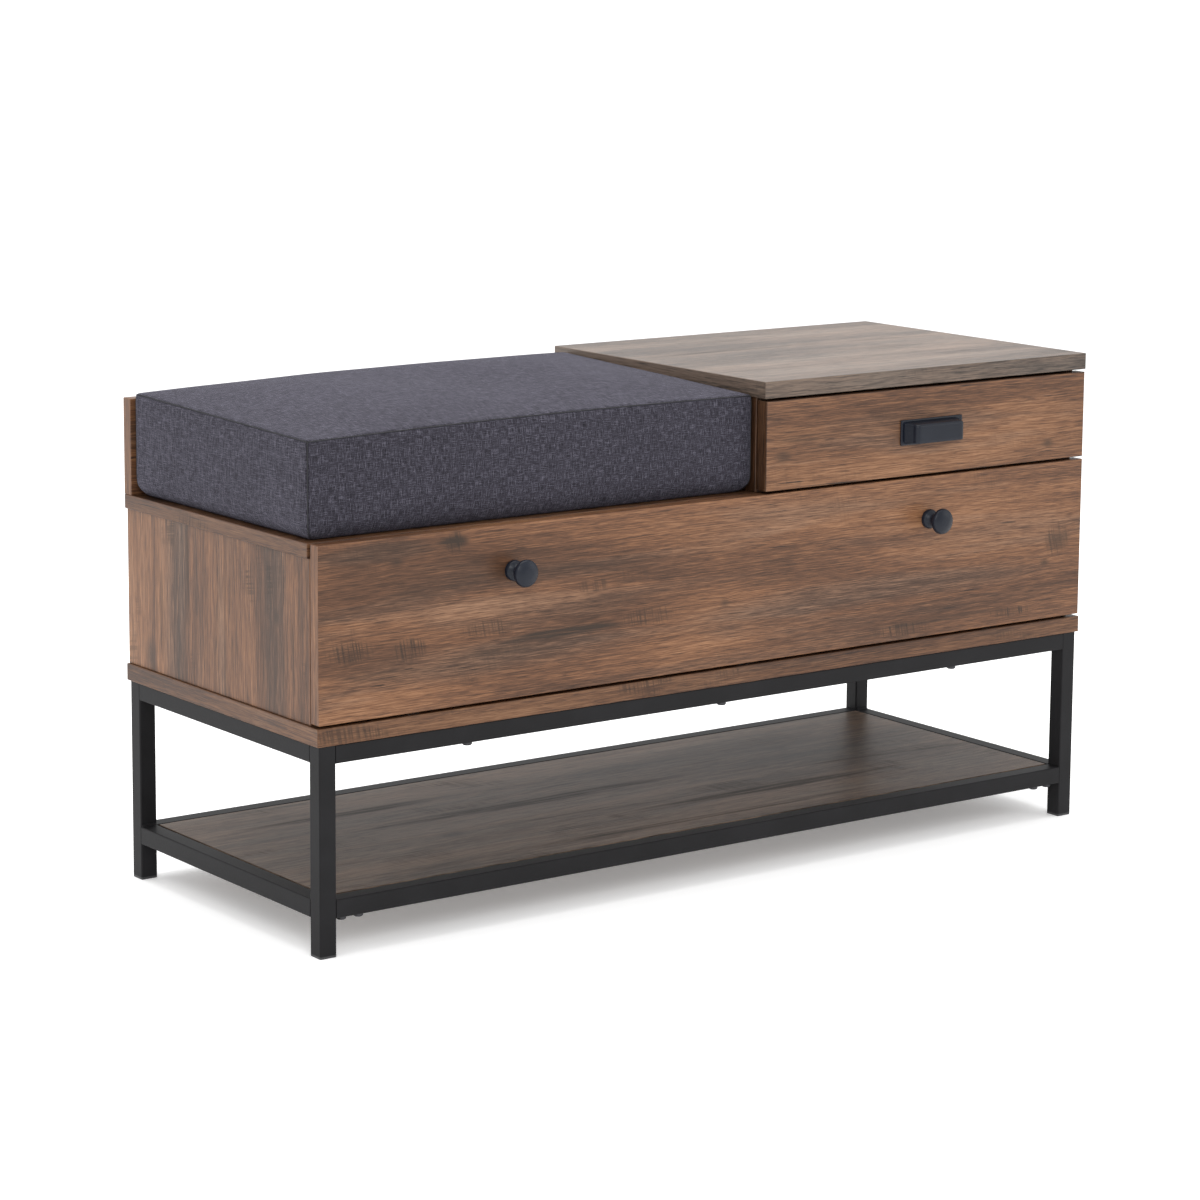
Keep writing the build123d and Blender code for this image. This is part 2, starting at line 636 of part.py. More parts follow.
def make_pull():
    """Cup pull: a plate with a hood that is open underneath."""
    x, y, z = pull_centre()
    face = Plane(origin=(x, y, z), x_dir=(1, 0, 0), z_dir=(0, -1, 0))
    plate = extrude(RectangleRounded(pull_plate_width, pull_plate_height, pull_plate_round), pull_plate)
    plate = chamfer(plate.edges().group_by(Axis.Z)[-1], pull_plate_ease)
    base = Rectangle(pull_hood_width, pull_hood_height)
    crown = Pos(0, 0, pull_reach) * Rectangle(pull_front_width, pull_front_height)
    hood = fillet(loft([base, crown]).edges().filter_by(Axis.Z, reverse=True), pull_round / 2)
    inner_base = Rectangle(pull_hood_width - 2 * pull_wall, pull_hood_height - 2 * pull_wall)
    inner_crown = Rectangle(pull_front_width - 2 * pull_wall, pull_front_height - 2 * pull_wall)
    depth_in = pull_reach - pull_wall
    cavity = loft([inner_base, Pos(0, 0, depth_in) * inner_crown])
    mouth = Pos(0, -pull_hood_height / 2, pull_plate) * Box(
        pull_front_width - 2 * pull_wall, pull_hood_height, depth_in - pull_plate, align=low)
    pull = plate + (hood - cavity - mouth)
    hole = rod(knob_screw_radius + fit_gap, pull_plate + 1, -0.5)
    pull = drilled(pull, [Pos(side * pull_screw_spacing / 2, 0, 0) * hole for side in (-1, 1)])
    pieces["cup_pull"] = face * pull
    length = front_board + drawer_board + pull_plate
    screw = head_screw(knob_screw_radius * 2, button_head, knob_screw_radius, length)
    pieces["pull_screws"] = group([at(place, (0, -1, 0), screw) for place in pull_screw_sites()])


# ---- Door ----

door_bottom = base_top + front_gap
pivot_y = front + pivot_back
pivot_z = door_bottom + pivot_rise
knob_z = seat_height - knob_drop
slot_depth = ear_radius + ear_gap
hinge_places = (left + hinge_inset, middle_hinge, right - hinge_inset)


def catch_sites():
    """Round magnets set into the front edge of the seat panel."""
    return [(x, carcass_front, seat_height - board / 2) for x in (left + catch_inset, right - catch_inset)]


def leaf_screw_sites():
    """Screws down through the hinge leaves into the base panel."""
    y0 = carcass_front + leaf_gap + leaf_length - leaf_screw_setback
    return [((x + side * leaf_width * leaf_screw_share, y0, base_top + leaf_metal), (0, 0, -1))
            for x in hinge_places for side in (-1, 1)]


def socket_screw_sites():
    """Screws through the socket's flange into the door's back."""
    spread = socket_flange_width / 2 - socket_screw_edge
    y, z = front + front_board + socket_flange, door_bottom + socket_height - socket_screw_drop
    return [((x + side * spread, y, z), (0, -1, 0)) for x in hinge_places for side in (-1, 1)]


def make_hinges():
    """Pivot hinges: an eared leaf on the base panel and a slotted socket in the door."""
    leaf_holes = [at(place, turn, slide_screw_hole()) for place, turn in leaf_screw_sites()]
    socket_holes = [at(place, turn, slide_screw_hole()) for place, turn in socket_screw_sites()]
    leaf_front = carcass_front + leaf_gap
    leaves, sockets, pins = [], [], []
    for x in hinge_places:
        plate = block(x - leaf_width / 2, x + leaf_width / 2, leaf_front, leaf_front + leaf_length,
                      base_top, base_top + leaf_metal)
        heel = leaf_front + leaf_length * ear_heel[0]
        outline = Polyline((pivot_y, pivot_z - ear_radius), (leaf_front, pivot_z - ear_radius),
                           (leaf_front, base_top + leaf_metal / 2), (heel, base_top + leaf_metal / 2),
                           (heel, base_top + ear_heel[1]), (leaf_front + ear_slope, pivot_z + ear_radius),
                           (pivot_y, pivot_z + ear_radius), close=True)
        ear = Plane(origin=(x - ear_width / 2, 0, 0), x_dir=(0, 1, 0), z_dir=(1, 0, 0)) * extrude(
            make_face(outline), ear_width)
        nose = at((x - ear_width / 2, pivot_y, pivot_z), (1, 0, 0), rod(ear_radius, ear_width))
        bore = at((x - ear_width, pivot_y, pivot_z), (1, 0, 0), rod(pin_radius + pin_gap, 2 * ear_width))
        leaves.append(drilled(plate + ear + nose, [bore] + leaf_holes))

        body = block(x - socket_width / 2, x + socket_width / 2, pivot_y - slot_depth - socket_wall,
                     front + front_board, door_bottom, door_bottom + socket_height)
        flange = block(x - socket_flange_width / 2, x + socket_flange_width / 2, front + front_board,
                       front + front_board + socket_flange, door_bottom, door_bottom + socket_height)
        slot = block(x - ear_width / 2 - ear_gap, x + ear_width / 2 + ear_gap, pivot_y - slot_depth,
                     front + front_board + socket_flange + 1, door_bottom - 1, pivot_z + slot_depth)
        seat = at((x - socket_width / 2, pivot_y, pivot_z), (1, 0, 0), rod(pin_radius, socket_width))
        sockets.append(drilled(body + flange, [slot, seat] + socket_holes))
        pins.append(seat)
    pieces["hinge_leaves"] = group(leaves)
    pieces["hinge_sockets"] = group(sockets)
    pieces["hinge_pins"] = group(pins)
    screw = flat_screw(slide_screw_head, slide_screw_radius, slide_screw_bite)
    pieces["socket_screws"] = group([at(place, turn, screw) for place, turn in socket_screw_sites()])


def make_door():
    """Drop-down door with its knobs and catches."""
    mortises = [block(x - socket_width / 2, x + socket_width / 2, pivot_y - slot_depth - socket_wall,
                      front + front_board + 1, door_bottom - 1, door_bottom + socket_height)
                for x in hinge_places]
    socket_holes = [at(place, turn, slide_screw_hole()) for place, turn in socket_screw_sites()]
    knob_x = (left + knob_inset, right - knob_inset)
    screw_hole = rod(knob_screw_radius + fit_gap, front_board + 1, -0.5)
    knob_holes = [at((x, front + front_board, knob_z), (0, -1, 0), screw_hole) for x in knob_x]
    pin = rod(strike_pin, strike_pin_length, -strike_pin_length)
    strike = rod(strike_radius, strike_metal) + pin
    strikes = [at((x, front + front_board, z), (0, 1, 0), strike) for x, _, z in catch_sites()]
    strike_holes = [at((x, front + front_board, z), (0, 1, 0), pin) for x, _, z in catch_sites()]
    door = panel(left + front_reveal, right - front_reveal, front, front + front_board,
                 door_bottom, seat_height)
    pieces["door_panel"] = drilled(door, mortises + socket_holes + knob_holes + strike_holes)
    pieces["strike_plates"] = group(strikes)

    magnet_reach = front_clearance - strike_metal - catch_gap
    magnet = rod(catch_radius, catch_depth + magnet_reach, -magnet_reach)
    magnet = chamfer(magnet.edges().sort_by(Axis.Z)[0], magnet_ease)
    pieces["magnetic_catches"] = group([at(place, (0, 1, 0), magnet) for place in catch_sites()])

    foot = Polyline((0, 0), (knob_base_radius, 0), (knob_base_radius, knob_base))
    widest = (knob_radius, knob_reach - knob_brow)
    neck = [(knob_neck_radius + past, reach) for past, reach in knob_shank]
    shank = Spline((knob_base_radius, knob_base), *neck, widest, tangents=[(-0.2, 1), (0.35, 1)])
    dome = [(knob_radius - inside, knob_reach - behind) for inside, behind in knob_dome]
    head = Spline(widest, *dome, (0, knob_reach), tangents=[(0.35, 1), (-1, 0)])
    outline = make_face(foot + shank + head + Line((0, knob_reach), (0, 0)))
    knob = revolve(Plane.XZ * outline, Axis.Z)
    knob = knob - rod(knob_screw_radius + fit_gap, knob_screw_bite + 1, -0.5)
    grip = front_board + knob_screw_bite
    screw = head_screw(knob_screw_radius * 2, knob_screw_head, knob_screw_radius, grip)
    for x, side in zip(knob_x, ("left", "right")):
        pieces[f"{side}_knob"] = at((x, front, knob_z), (0, -1, 0), knob)
    screws = [at((x, front + front_board, knob_z), (0, -1, 0), screw) for x in knob_x]
    pieces["knob_screws"] = group(screws)


# ---- Cushion ----

def make_cushion():
    """Loose seat cushion between the left end and the drawer bay."""
    z0 = seat_height + cushion_lift
    pad = block(left + cushion_end_gap, right - top_length - cushion_bay_gap, carcass_front + cushion_recess,
                upper_back_front - cushion_end_gap, z0, z0 + cushion_thickness)
    pieces["cushion"] = fillet(pad.edges(), cushion_round)


make_frame()
make_shelf()
make_cabinet()
make_slides()
make_drawer()
make_pull()
make_hinges()
make_door()
make_cushion()

os.makedirs("parts", exist_ok=True)
for name, piece in pieces.items():
    export_step(piece, f"parts/{name}.step")
print(len(pieces), "nodes written")
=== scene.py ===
import math
import bmesh
import bpy
import numpy as np
from mathutils import Matrix, Vector


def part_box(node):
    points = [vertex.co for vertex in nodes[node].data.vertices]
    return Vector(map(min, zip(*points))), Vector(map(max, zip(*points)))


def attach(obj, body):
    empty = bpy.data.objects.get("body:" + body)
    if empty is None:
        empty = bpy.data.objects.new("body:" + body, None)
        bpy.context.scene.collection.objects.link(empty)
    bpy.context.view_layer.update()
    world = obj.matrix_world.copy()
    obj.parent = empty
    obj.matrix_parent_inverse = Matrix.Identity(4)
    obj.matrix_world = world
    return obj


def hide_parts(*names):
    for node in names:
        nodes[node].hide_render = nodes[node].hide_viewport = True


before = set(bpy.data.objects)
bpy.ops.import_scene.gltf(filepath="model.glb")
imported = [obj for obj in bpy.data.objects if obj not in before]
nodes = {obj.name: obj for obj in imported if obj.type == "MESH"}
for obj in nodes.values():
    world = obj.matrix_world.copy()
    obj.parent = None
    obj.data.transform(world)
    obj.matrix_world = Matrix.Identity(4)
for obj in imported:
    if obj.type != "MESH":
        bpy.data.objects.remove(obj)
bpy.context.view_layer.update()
mm = 0.001
print("frame loaded:", len(nodes), "nodes")


# Shader maths. A Sock wraps one output socket, and arithmetic on it adds Math nodes.
class Sock:
    def __init__(self, tree, out):
        self.tree = tree
        self.out = out

    def add(self, kind, settings=None, sockets=None, out=0):
        return addNode(self.tree, kind, settings, sockets, out)

    def math(self, operation, *values, clamp=False):
        settings = {"operation": operation, "use_clamp": clamp}
        return self.add("ShaderNodeMath", settings, dict(enumerate(values)))

    def __add__(self, other):
        return self.math("ADD", self, other)

    def __sub__(self, other):
        return self.math("SUBTRACT", self, other)

    def __mul__(self, other):
        return self.math("MULTIPLY", self, other)

    def __truediv__(self, other):
        return self.math("DIVIDE", self, other)

    def __pow__(self, other):
        return self.math("POWER", self, other)

    def __radd__(self, other):
        return self.math("ADD", other, self)

    def __rsub__(self, other):
        return self.math("SUBTRACT", other, self)

    def __abs__(self):
        return self.math("ABSOLUTE", self)

    def above(self, edge):
        return self.math("GREATER_THAN", self, edge)

    # 0 below low, 1 above high, smooth between
    def step(self, low, high):
        settings = {"interpolation_type": "SMOOTHSTEP", "clamp": True}
        return self.add("ShaderNodeMapRange", settings, {0: self, 1: low, 2: high, 3: 0.0, 4: 1.0})


# One way to make any node: its type, its settings, and what its sockets hold or take
def addNode(tree, kind, settings=None, sockets=None, out=0):
    node = tree.nodes.new(kind)
    for key, value in (settings or {}).items():
        if key == "stops":
            elements = node.color_ramp.elements
            while len(elements) < len(value):
                elements.new(0.5)
            for element, (place, colour) in zip(elements, value):
                element.position = place
                element.color = (*colour, 1.0)
        else:
            setattr(node, key, value)
    for key, value in (sockets or {}).items():
        if isinstance(value, Sock):
            tree.links.new(value.out, node.inputs[key])
        else:
            node.inputs[key].default_value = value
    return Sock(tree, node.outputs[out])


def newMaterial(name, **shader):
    material = bpy.data.materials.new(name)
    material.use_nodes = True
    tree = material.node_tree
    surface = tree.nodes["Principled BSDF"]
    for key, value in shader.items():
        surface.inputs[key.replace("_", " ")].default_value = value
    return material, tree, surface


def feed(tree, surface, **links):
    for key, value in links.items():
        tree.links.new(value.out, surface.inputs[key.replace("_", " ")])


def objectPoint(tree):
    return addNode(tree, "ShaderNodeTexCoord", out=3)


def objectNormal(tree):
    return addNode(tree, "ShaderNodeTexCoord", out=1)


def splitVector(vector):
    return [vector.add("ShaderNodeSeparateXYZ", sockets={0: vector}, out=i) for i in range(3)]


def joinVector(x, y, z):
    source = next(v for v in (x, y, z) if isinstance(v, Sock))
    return source.add("ShaderNodeCombineXYZ", sockets={0: x, 1: y, 2: z})


# Noise between 0 and 1 of a vector stretched by a scale for each axis
def noise(vector, scale, detail=2.0, rough=0.5, twist=0.0):
    stretched = vector.add("ShaderNodeVectorMath", {"operation": "MULTIPLY"}, {0: vector, 1: scale})
    sockets = {"Vector": stretched, "Scale": 1.0, "Detail": detail, "Roughness": rough,
               "Distortion": twist}
    return vector.add("ShaderNodeTexNoise", {"noise_dimensions": "3D"}, sockets)


def mixColour(factor, first, second, blend="MIX"):
    source = next(v for v in (factor, first, second) if isinstance(v, Sock))
    values = [v if isinstance(v, Sock) else (*v, 1.0) for v in (first, second)]
    sockets = {0: factor, 6: values[0], 7: values[1]}
    return source.add("ShaderNodeMix", {"data_type": "RGBA", "blend_type": blend}, sockets, out=2)


def attribute(tree, name):
    return addNode(tree, "ShaderNodeAttribute", {"attribute_name": name}, out=2)


def ramp(value, stops):
    return value.add("ShaderNodeValToRGB", {"stops": stops}, {0: value})


def bump(height, distance, strength=1.0):
    sockets = {"Height": height, "Distance": distance, "Strength": strength}
    return height.add("ShaderNodeBump", sockets=sockets)


def paint(names, material):
    for name in names:
        nodes[name].data.materials.clear()
        nodes[name].data.materials.append(material)


# Rustic laminate. Along and across are the two directions of the printed grain on each face.
woodLook = {
    "deep": (0.045, 0.021, 0.011),
    "brown": (0.100, 0.045, 0.023),
    "warm": (0.178, 0.081, 0.038),
    "tan": (0.310, 0.158, 0.080),
    "grey": (0.115, 0.084, 0.064),
    "stain": (0.024, 0.016, 0.011),
    "crack": (0.010, 0.007, 0.006),
    "gloss": 0.33,
}


# Noise scales of the printed patterns: per metre along the grain, across it, and between faces
grain = {
    "zone": (1.7, 12.0, 1.0),
    "streak": (4.0, 150.0, 1.0),
    "warp": (2.4, 11.0, 1.0),
    "fibre": (26.0, 850.0, 1.0),
    "pores": (55.0, 1250.0, 1.0),
    "dashes": (34.0, 760.0, 2.0),
    "ash": (2.6, 30.0, 1.0),
    "smear": (3.6, 36.0, 1.0),
    "patch": (7.0, 20.0, 1.0),
    "saw": (330.0, 11.0, 1.0),
    "wisp": (7.0, 210.0, 1.0),
    "crack": (11.0, 330.0, 1.0),
    "crackZone": (5.0, 14.0, 1.0),
    "bend": (18.0, 1.0, 1.0),
}


# Which two object axes run along and across the grain on the faces that look along x, y and z
grainRules = {
    "lying": ("yz", "xz", "xy"),
    "front": ("zy", "xz", "xy"),
    "side": ("zy", "zx", "yx"),
}


def grainPlane(tree, rule):
    x, y, z = splitVector(objectPoint(tree))
    nx, ny, nz = splitVector(objectNormal(tree))
    faceX = abs(nx).above(0.75)
    faceZ = abs(nz).above(0.75)
    faceY = 1.0 - faceX - faceZ
    axes = {"x": x, "y": y, "z": z}
    along, across = (
        faceX * axes[rule[0][i]] + faceY * axes[rule[1][i]] + faceZ * axes[rule[2][i]] for i in range(2)
    )
    return along, across, faceX * 0.37 + faceZ * 0.71


def spread(value, amount):
    return (value - 0.5) * amount


# Sum of soft ellipses: each is its place and half sizes in millimetres, along and across the
# grain, and its amount
def spots(along, across, places):
    total = None
    for x, y, long, tall, amount in places:
        da = (along - x * mm) / (long * mm)
        db = (across - y * mm) / (tall * mm)
        spot = (1.0 - (da * da + db * db).step(0.05, 1.0)) * amount
        total = spot if total is None else total + spot
    return total


# Stripe widens or narrows the plank bands, light and edge scale the colour of a whole board and its
# edges (painted shade or light on some boards), the grey tint greys it (partly a painted reflection),
# and wear scales the marks that are spread over it
def laminate(name, kind, seed, knots=(), tones=(), greys=(), smears=(), scars=(), splits=(),
             stripe=1.0, light=1.0, edge=1.0, greyAndSheen=0.0, wear=1.0, shine=0.26):
    material, tree, surface = newMaterial(name, Specular_IOR_Level=shine)
    along, across, layer = grainPlane(tree, grainRules[kind])
    placeAlong, placeAcross = along, across
    striped = {key: (grain[key][0], grain[key][1] * stripe, grain[key][2]) for key in ("zone", "ash")}
    core = None
    for knotAlong, knotAcross, size in knots:
        da = (placeAlong - knotAlong * mm) / (size * 1.7 * mm)
        db = (placeAcross - knotAcross * mm) / (size * mm)
        far = (da * da + db * db) ** 0.5
        across = across + db * size * 0.6 * mm / (1.0 + far * far * 0.8)
        core = far if core is None else core.math("MINIMUM", core, far)
    along, across, layer = along + seed * 1.37, across + seed * 0.61, layer + seed
    plane = joinVector(along, across, layer)

    zone = noise(plane, striped["zone"], 2.0, 0.5, 0.4)
    streak = noise(plane, grain["streak"], 5.0, 0.6, 0.2)
    warp = noise(plane, grain["warp"], 2.0, 0.5)
    rings = across * 170.0 + warp * 11.0
    line = abs(rings.math("FRACT", rings) - 0.5) * 2.0
    fibre = noise(plane, grain["fibre"], 3.0, 0.7)
    pores = noise(plane, grain["pores"], 2.0, 0.6)
    dashes = noise(plane, grain["dashes"], 2.0, 0.6, 0.2).step(0.56, 0.68)
    tone = (0.50 + spread(zone, 0.78) + spread(streak, 0.50) + spread(fibre, 1.0)
            + spread(pores, 0.55) + spread(line, 0.06) - dashes * 0.19)
    if tones:
        tone = tone + spots(placeAlong + spread(streak, 0.10), placeAcross + spread(zone, 0.04), tones)
    colour = ramp(tone, [(0.16, woodLook["deep"]), (0.40, woodLook["brown"]),
                         (0.58, woodLook["warm"]), (0.86, woodLook["tan"])])

    ash = noise(joinVector(along + 1.0, across, layer), striped["ash"], 3.0, 0.6, 0.5).step(0.48, 0.70)
    contrast = mixColour(tone.step(0.2, 0.85), (0.25,) * 3, (1.75,) * 3)
    greyed = mixColour(1.0, contrast, woodLook["grey"], "MULTIPLY")
    # the added grey tint greys the whole board, partly as a painted reflection on the top board and shelf
    ash = ash * 0.27 + greyAndSheen
    if greys:
        ash = ash + spots(placeAlong + spread(streak, 0.10), placeAcross + spread(zone, 0.04), greys)
    colour = mixColour(ash.math("MULTIPLY", ash, 1.0, clamp=True), colour, greyed)

    smear = noise(joinVector(along + 4.0, across, layer), grain["smear"], 5.0, 0.66, 0.8).step(0.57, 0.74)
    patch = noise(joinVector(along + 8.0, across, layer), grain["patch"], 3.0, 0.6).step(0.56, 0.68)
    slant = joinVector(along + across * 0.18, across, layer)
    saw = noise(slant, grain["saw"], 2.0, 0.6).step(0.45, 0.62)
    ragged = fibre.step(0.30, 0.62)
    marks = (smear * (0.30 + ragged * 0.45) + patch * saw * ragged * 0.60 + patch * 0.12) * wear
    if smears:
        wisp = noise(plane, grain["wisp"], 4.0, 0.65, 0.3).step(0.38, 0.58)
        marks = marks + spots(placeAlong, placeAcross + spread(zone, 0.02), smears) * (0.15 + wisp * 0.85)
    if scars:
        marks = marks + spots(placeAlong, placeAcross, scars) * (saw * ragged * 0.85 + 0.12)
    marks = marks.math("MINIMUM", marks, 0.85)
    colour = mixColour(marks, colour, woodLook["stain"])

    crackPlane = joinVector(along + 2.0, across, layer)
    crackField = noise(crackPlane, grain["crack"], 2.0, 0.5, 0.25).step(0.69, 0.73)
    crackZone = noise(joinVector(along + 6.0, across, layer), grain["crackZone"], 1.0).step(0.50, 0.60)
    cracks = crackField * crackZone
    if splits:
        bend = noise(plane, grain["bend"], 2.0)
        cracks = cracks + spots(placeAlong, placeAcross + spread(bend, 0.012), splits)
    colour = mixColour(cracks * 0.85, colour, woodLook["crack"])
    if core is not None:
        swirl = noise(joinVector(core * 3.0, layer, seed), (1.3, 1.0, 1.0), 2.0)
        heart = (1.0 - core.step(0.10, 1.25)) * (0.40 + swirl * 0.6) * (0.45 + ragged * 0.55)
        colour = mixColour(heart, colour, woodLook["stain"])
        cracks = cracks + heart * 0.4
    # light and edge scale the colour of the whole board and of its edge faces: painted shade on the bay wall
    # and the drawer front's edges, painted light on the top board's top face
    if light != 1.0:
        colour = mixColour(1.0, colour, (light,) * 3, "MULTIPLY")
    if edge != 1.0:
        main = abs(splitVector(objectNormal(tree))["side front lying".split().index(kind)]).above(0.75)
        colour = mixColour(main, mixColour(1.0, colour, (edge,) * 3, "MULTIPLY"), colour)
    relief = fibre * 0.5 + pores * 0.3 - dashes * 0.5 - cracks * 1.5 - saw * patch * 0.4
    rough = woodLook["gloss"] + fibre * 0.14 + marks * 0.10
    feed(tree, surface, Base_Color=colour, Roughness=rough, Normal=bump(relief, 0.00016, 0.6))
    return material


# What each board shows. A mark is its place and half sizes along and across the grain in
# millimetres, then its amount; a knot is its place and its radius.
boardLook = {
    "door_panel": {
        "kind": "front", "seed": 1.0,
        "knots": ((472, 323, 12), (-346, 402, 9), (-416, 388, 6), (-6, 303, 5), (452, 300, 5)),
        # the first tone, a broad darkening over the door's left half, is painted shade
        "tones": ((-330, 310, 330, 150, -0.17), (-260, 338, 190, 17, 0.15), (-440, 402, 110, 16, -0.13),
                  (90, 370, 330, 22, 0.08), (-145, 246, 260, 14, -0.09), (380, 345, 200, 40, 0.07),
                  (250, 258, 260, 12, -0.05), (-440, 300, 90, 22, -0.10), (-420, 262, 80, 14, 0.06)),
        "greys": ((-300, 285, 210, 22, 0.25), (-440, 400, 90, 14, 0.35), (200, 290, 300, 20, 0.35)),
        "smears": ((-215, 296, 85, 6, 1.2), (-300, 287, 70, 5, 0.5), (-350, 402, 24, 9, 0.9),
                   (-420, 280, 70, 5, 0.35), (300, 250, 130, 4, 0.50), (170, 244, 60, 4, 0.45),
                   (-120, 340, 40, 3, 0.30), (60, 318, 70, 4, 0.22)),
        "scars": ((-470, 304, 34, 14, 1.2), (-402, 299, 26, 15, 1.1), (-304, 310, 40, 12, 0.8),
                  (-105, 300, 45, 12, 0.8), (-175, 340, 34, 9, 0.6), (400, 249, 36, 7, 1.3),
                  (240, 246, 50, 9, 0.9), (470, 325, 22, 24, 0.8), (-346, 402, 14, 16, 0.9)),
        "splits": ((40, 361, 15, 0.5, 1.0), (-123, 384, 34, 0.6, 0.8), (-60, 381, 16, 0.5, 0.7),
                   (-420, 375, 14, 0.5, 0.7), (330, 302, 18, 0.5, 0.5)),
        "wear": 0.35,
    },
    "drawer_front": {
        # edge 0.4 darkens the drawer front's edge faces as painted shade, beside the cushion and under the
        # top board
        "kind": "front", "seed": 2.3, "light": 0.9, "edge": 0.4, "knots": ((452, 436, 6), (70, 452, 8)),
        "tones": ((150, 455, 120, 22, -0.09), (400, 470, 130, 30, 0.05)),
        "smears": ((95, 470, 40, 5, 0.35), (450, 437, 20, 3, 0.5)),
        "splits": ((276, 426, 16, 0.5, 0.8), (420, 441, 12, 0.5, 0.6)),
        "wear": 0.25,
    },
    "bottom_panel": {"kind": "lying", "seed": 3.1, "light": 0.66},
    "seat_panel": {"kind": "lying", "seed": 4.7, "light": 0.58},
    "top_board": {
        # painted light: light raises the top face while edge holds its edge faces darker, and the grey tint
        # is partly a painted reflection
        "kind": "lying", "seed": 5.2, "greyAndSheen": 0.9, "shine": 0.38, "light": 1.22, "edge": 0.6,
        "smears": ((200, 60, 170, 9, 0.5), (330, -60, 150, 8, 0.4), (120, -90, 90, 7, 0.4)),
    },
    # the shelf's grey tint is partly a painted reflection
    "shelf_board": {"kind": "lying", "seed": 6.4, "greyAndSheen": 0.85, "light": 0.95, "shine": 0.10,
                    "knots": ((-250, -30, 14), (280, 80, 12)),
                    "smears": ((-100, 40, 260, 14, 1.1), (150, -60, 240, 12, 1.0),
                               (-300, 110, 160, 12, 0.9), (0, -120, 300, 9, 0.8)),
                    "scars": ((300, 120, 60, 30, 0.5), (-330, -90, 60, 24, 0.5))},
    "upper_back_board": {"kind": "front", "seed": 7.9, "light": 0.75},
    # painted shade: light 0.40 darkens the bay wall for the shade it stands in beside the cushion
    "bay_wall": {"kind": "side", "seed": 8.5, "light": 0.40},
    "left_side_panel": {
        "kind": "side", "seed": 9.3, "stripe": 1.3, "knots": ((250, 158, 13), (330, -96, 7)),
        "tones": ((320, 165, 260, 26, 0.10), (320, 132, 260, 12, 0.14), (320, 96, 260, 30, -0.14),
                  (320, 30, 260, 44, -0.10), (320, -42, 260, 22, 0.12), (320, -90, 260, 18, -0.10),
                  (320, -146, 260, 14, -0.12)),
        "greys": ((320, 104, 260, 28, 0.3), (320, -98, 260, 26, 0.25)),
        "smears": ((350, 80, 70, 5, 0.6), (300, 132, 60, 4, 0.5), (280, -72, 60, 3, 0.4),
                   (360, -140, 50, 4, 0.4)),
        "splits": ((375, 165, 12, 0.5, 0.8),),
    },
    "right_side_panel": {
        "kind": "side", "seed": 10.6, "stripe": 2.2, "knots": ((330, -20, 9),),
        "tones": ((370, 140, 300, 30, -0.10), (370, 60, 300, 30, 0.12), (370, -90, 300, 30, 0.08)),
        "greys": ((370, 10, 300, 30, 0.5),),
    },
    "centre_divider": {"kind": "side", "seed": 11.2},
}


def coatBoards():
    for name, look in boardLook.items():
        paint([name], laminate(name + "_laminate", **look))
    inner = laminate("drawer_box_laminate", "front", 12.0, light=0.85, greyAndSheen=0.2, wear=0.4)
    paint(["drawer_inner_front", "drawer_back"], inner)
    paint(["drawer_left_side", "drawer_right_side"], laminate("drawer_side_laminate", "side", 13.0, wear=0.4))


def hardboardFinish():
    material, tree, surface = newMaterial("hardboard", Roughness=0.7)
    point = objectPoint(tree)
    chips = noise(point, (900.0, 900.0, 900.0), 3.0, 0.7)
    cloud = noise(point, (14.0, 14.0, 14.0), 2.0)
    colour = ramp(chips * 0.6 + cloud * 0.4, [(0.3, (0.11, 0.06, 0.035)), (0.7, (0.24, 0.145, 0.085))])
    feed(tree, surface, Base_Color=colour, Normal=bump(chips, 0.0003, 0.5))
    return material


# Powder coat: a fine orange peel, dulled and paler where it is touched
def powderCoat(name, colour, worn, scale, rough, shine):
    material, tree, surface = newMaterial(name, Specular_IOR_Level=shine)
    point = objectPoint(tree)
    peel = noise(point, (scale,) * 3, 2.0, 0.55)
    cloud = noise(point, (16.0,) * 3, 3.0, 0.6)
    speck = noise(point, (2600.0,) * 3, 1.0).step(0.66, 0.72)
    shade = mixColour(cloud.step(0.35, 0.75) * 0.6 + speck * 0.12, colour, worn)
    feed(tree, surface, Base_Color=shade, Roughness=rough + peel * 0.10 + cloud * 0.08,
         Normal=bump(peel, 0.00012, 0.6))
    return material


def platedSteel(name, colour, rough, along):
    material, tree, surface = newMaterial(name, Metallic=1.0)
    point = objectPoint(tree)
    brush = noise(point, along, 3.0, 0.6)
    cloud = noise(point, (40.0,) * 3, 2.0)
    shade = mixColour(brush * 0.5 + cloud * 0.3, colour, tuple(c * 0.72 for c in colour))
    feed(tree, surface, Base_Color=shade, Roughness=rough + brush * 0.14, Normal=bump(brush, 0.00005, 0.5))
    return material


def mouldedPlastic():
    material, tree, surface = newMaterial("moulded_plastic")
    point = objectPoint(tree)
    spark = noise(point, (1500.0,) * 3, 2.0, 0.6)
    shade = mixColour(noise(point, (60.0,) * 3, 2.0), (0.018, 0.018, 0.019), (0.035, 0.035, 0.037))
    feed(tree, surface, Base_Color=shade, Roughness=0.42 + spark * 0.2, Normal=bump(spark, 0.0001, 0.5))
    return material


def beech():
    material, tree, surface = newMaterial("beech", Roughness=0.6)
    point = objectPoint(tree)
    grain = noise(point, (500.0, 500.0, 60.0), 3.0, 0.6)
    feed(tree, surface, Base_Color=ramp(grain, [(0.3, (0.52, 0.36, 0.21)), (0.7, (0.74, 0.58, 0.39))]),
         Normal=bump(grain, 0.0002, 0.5))
    return material


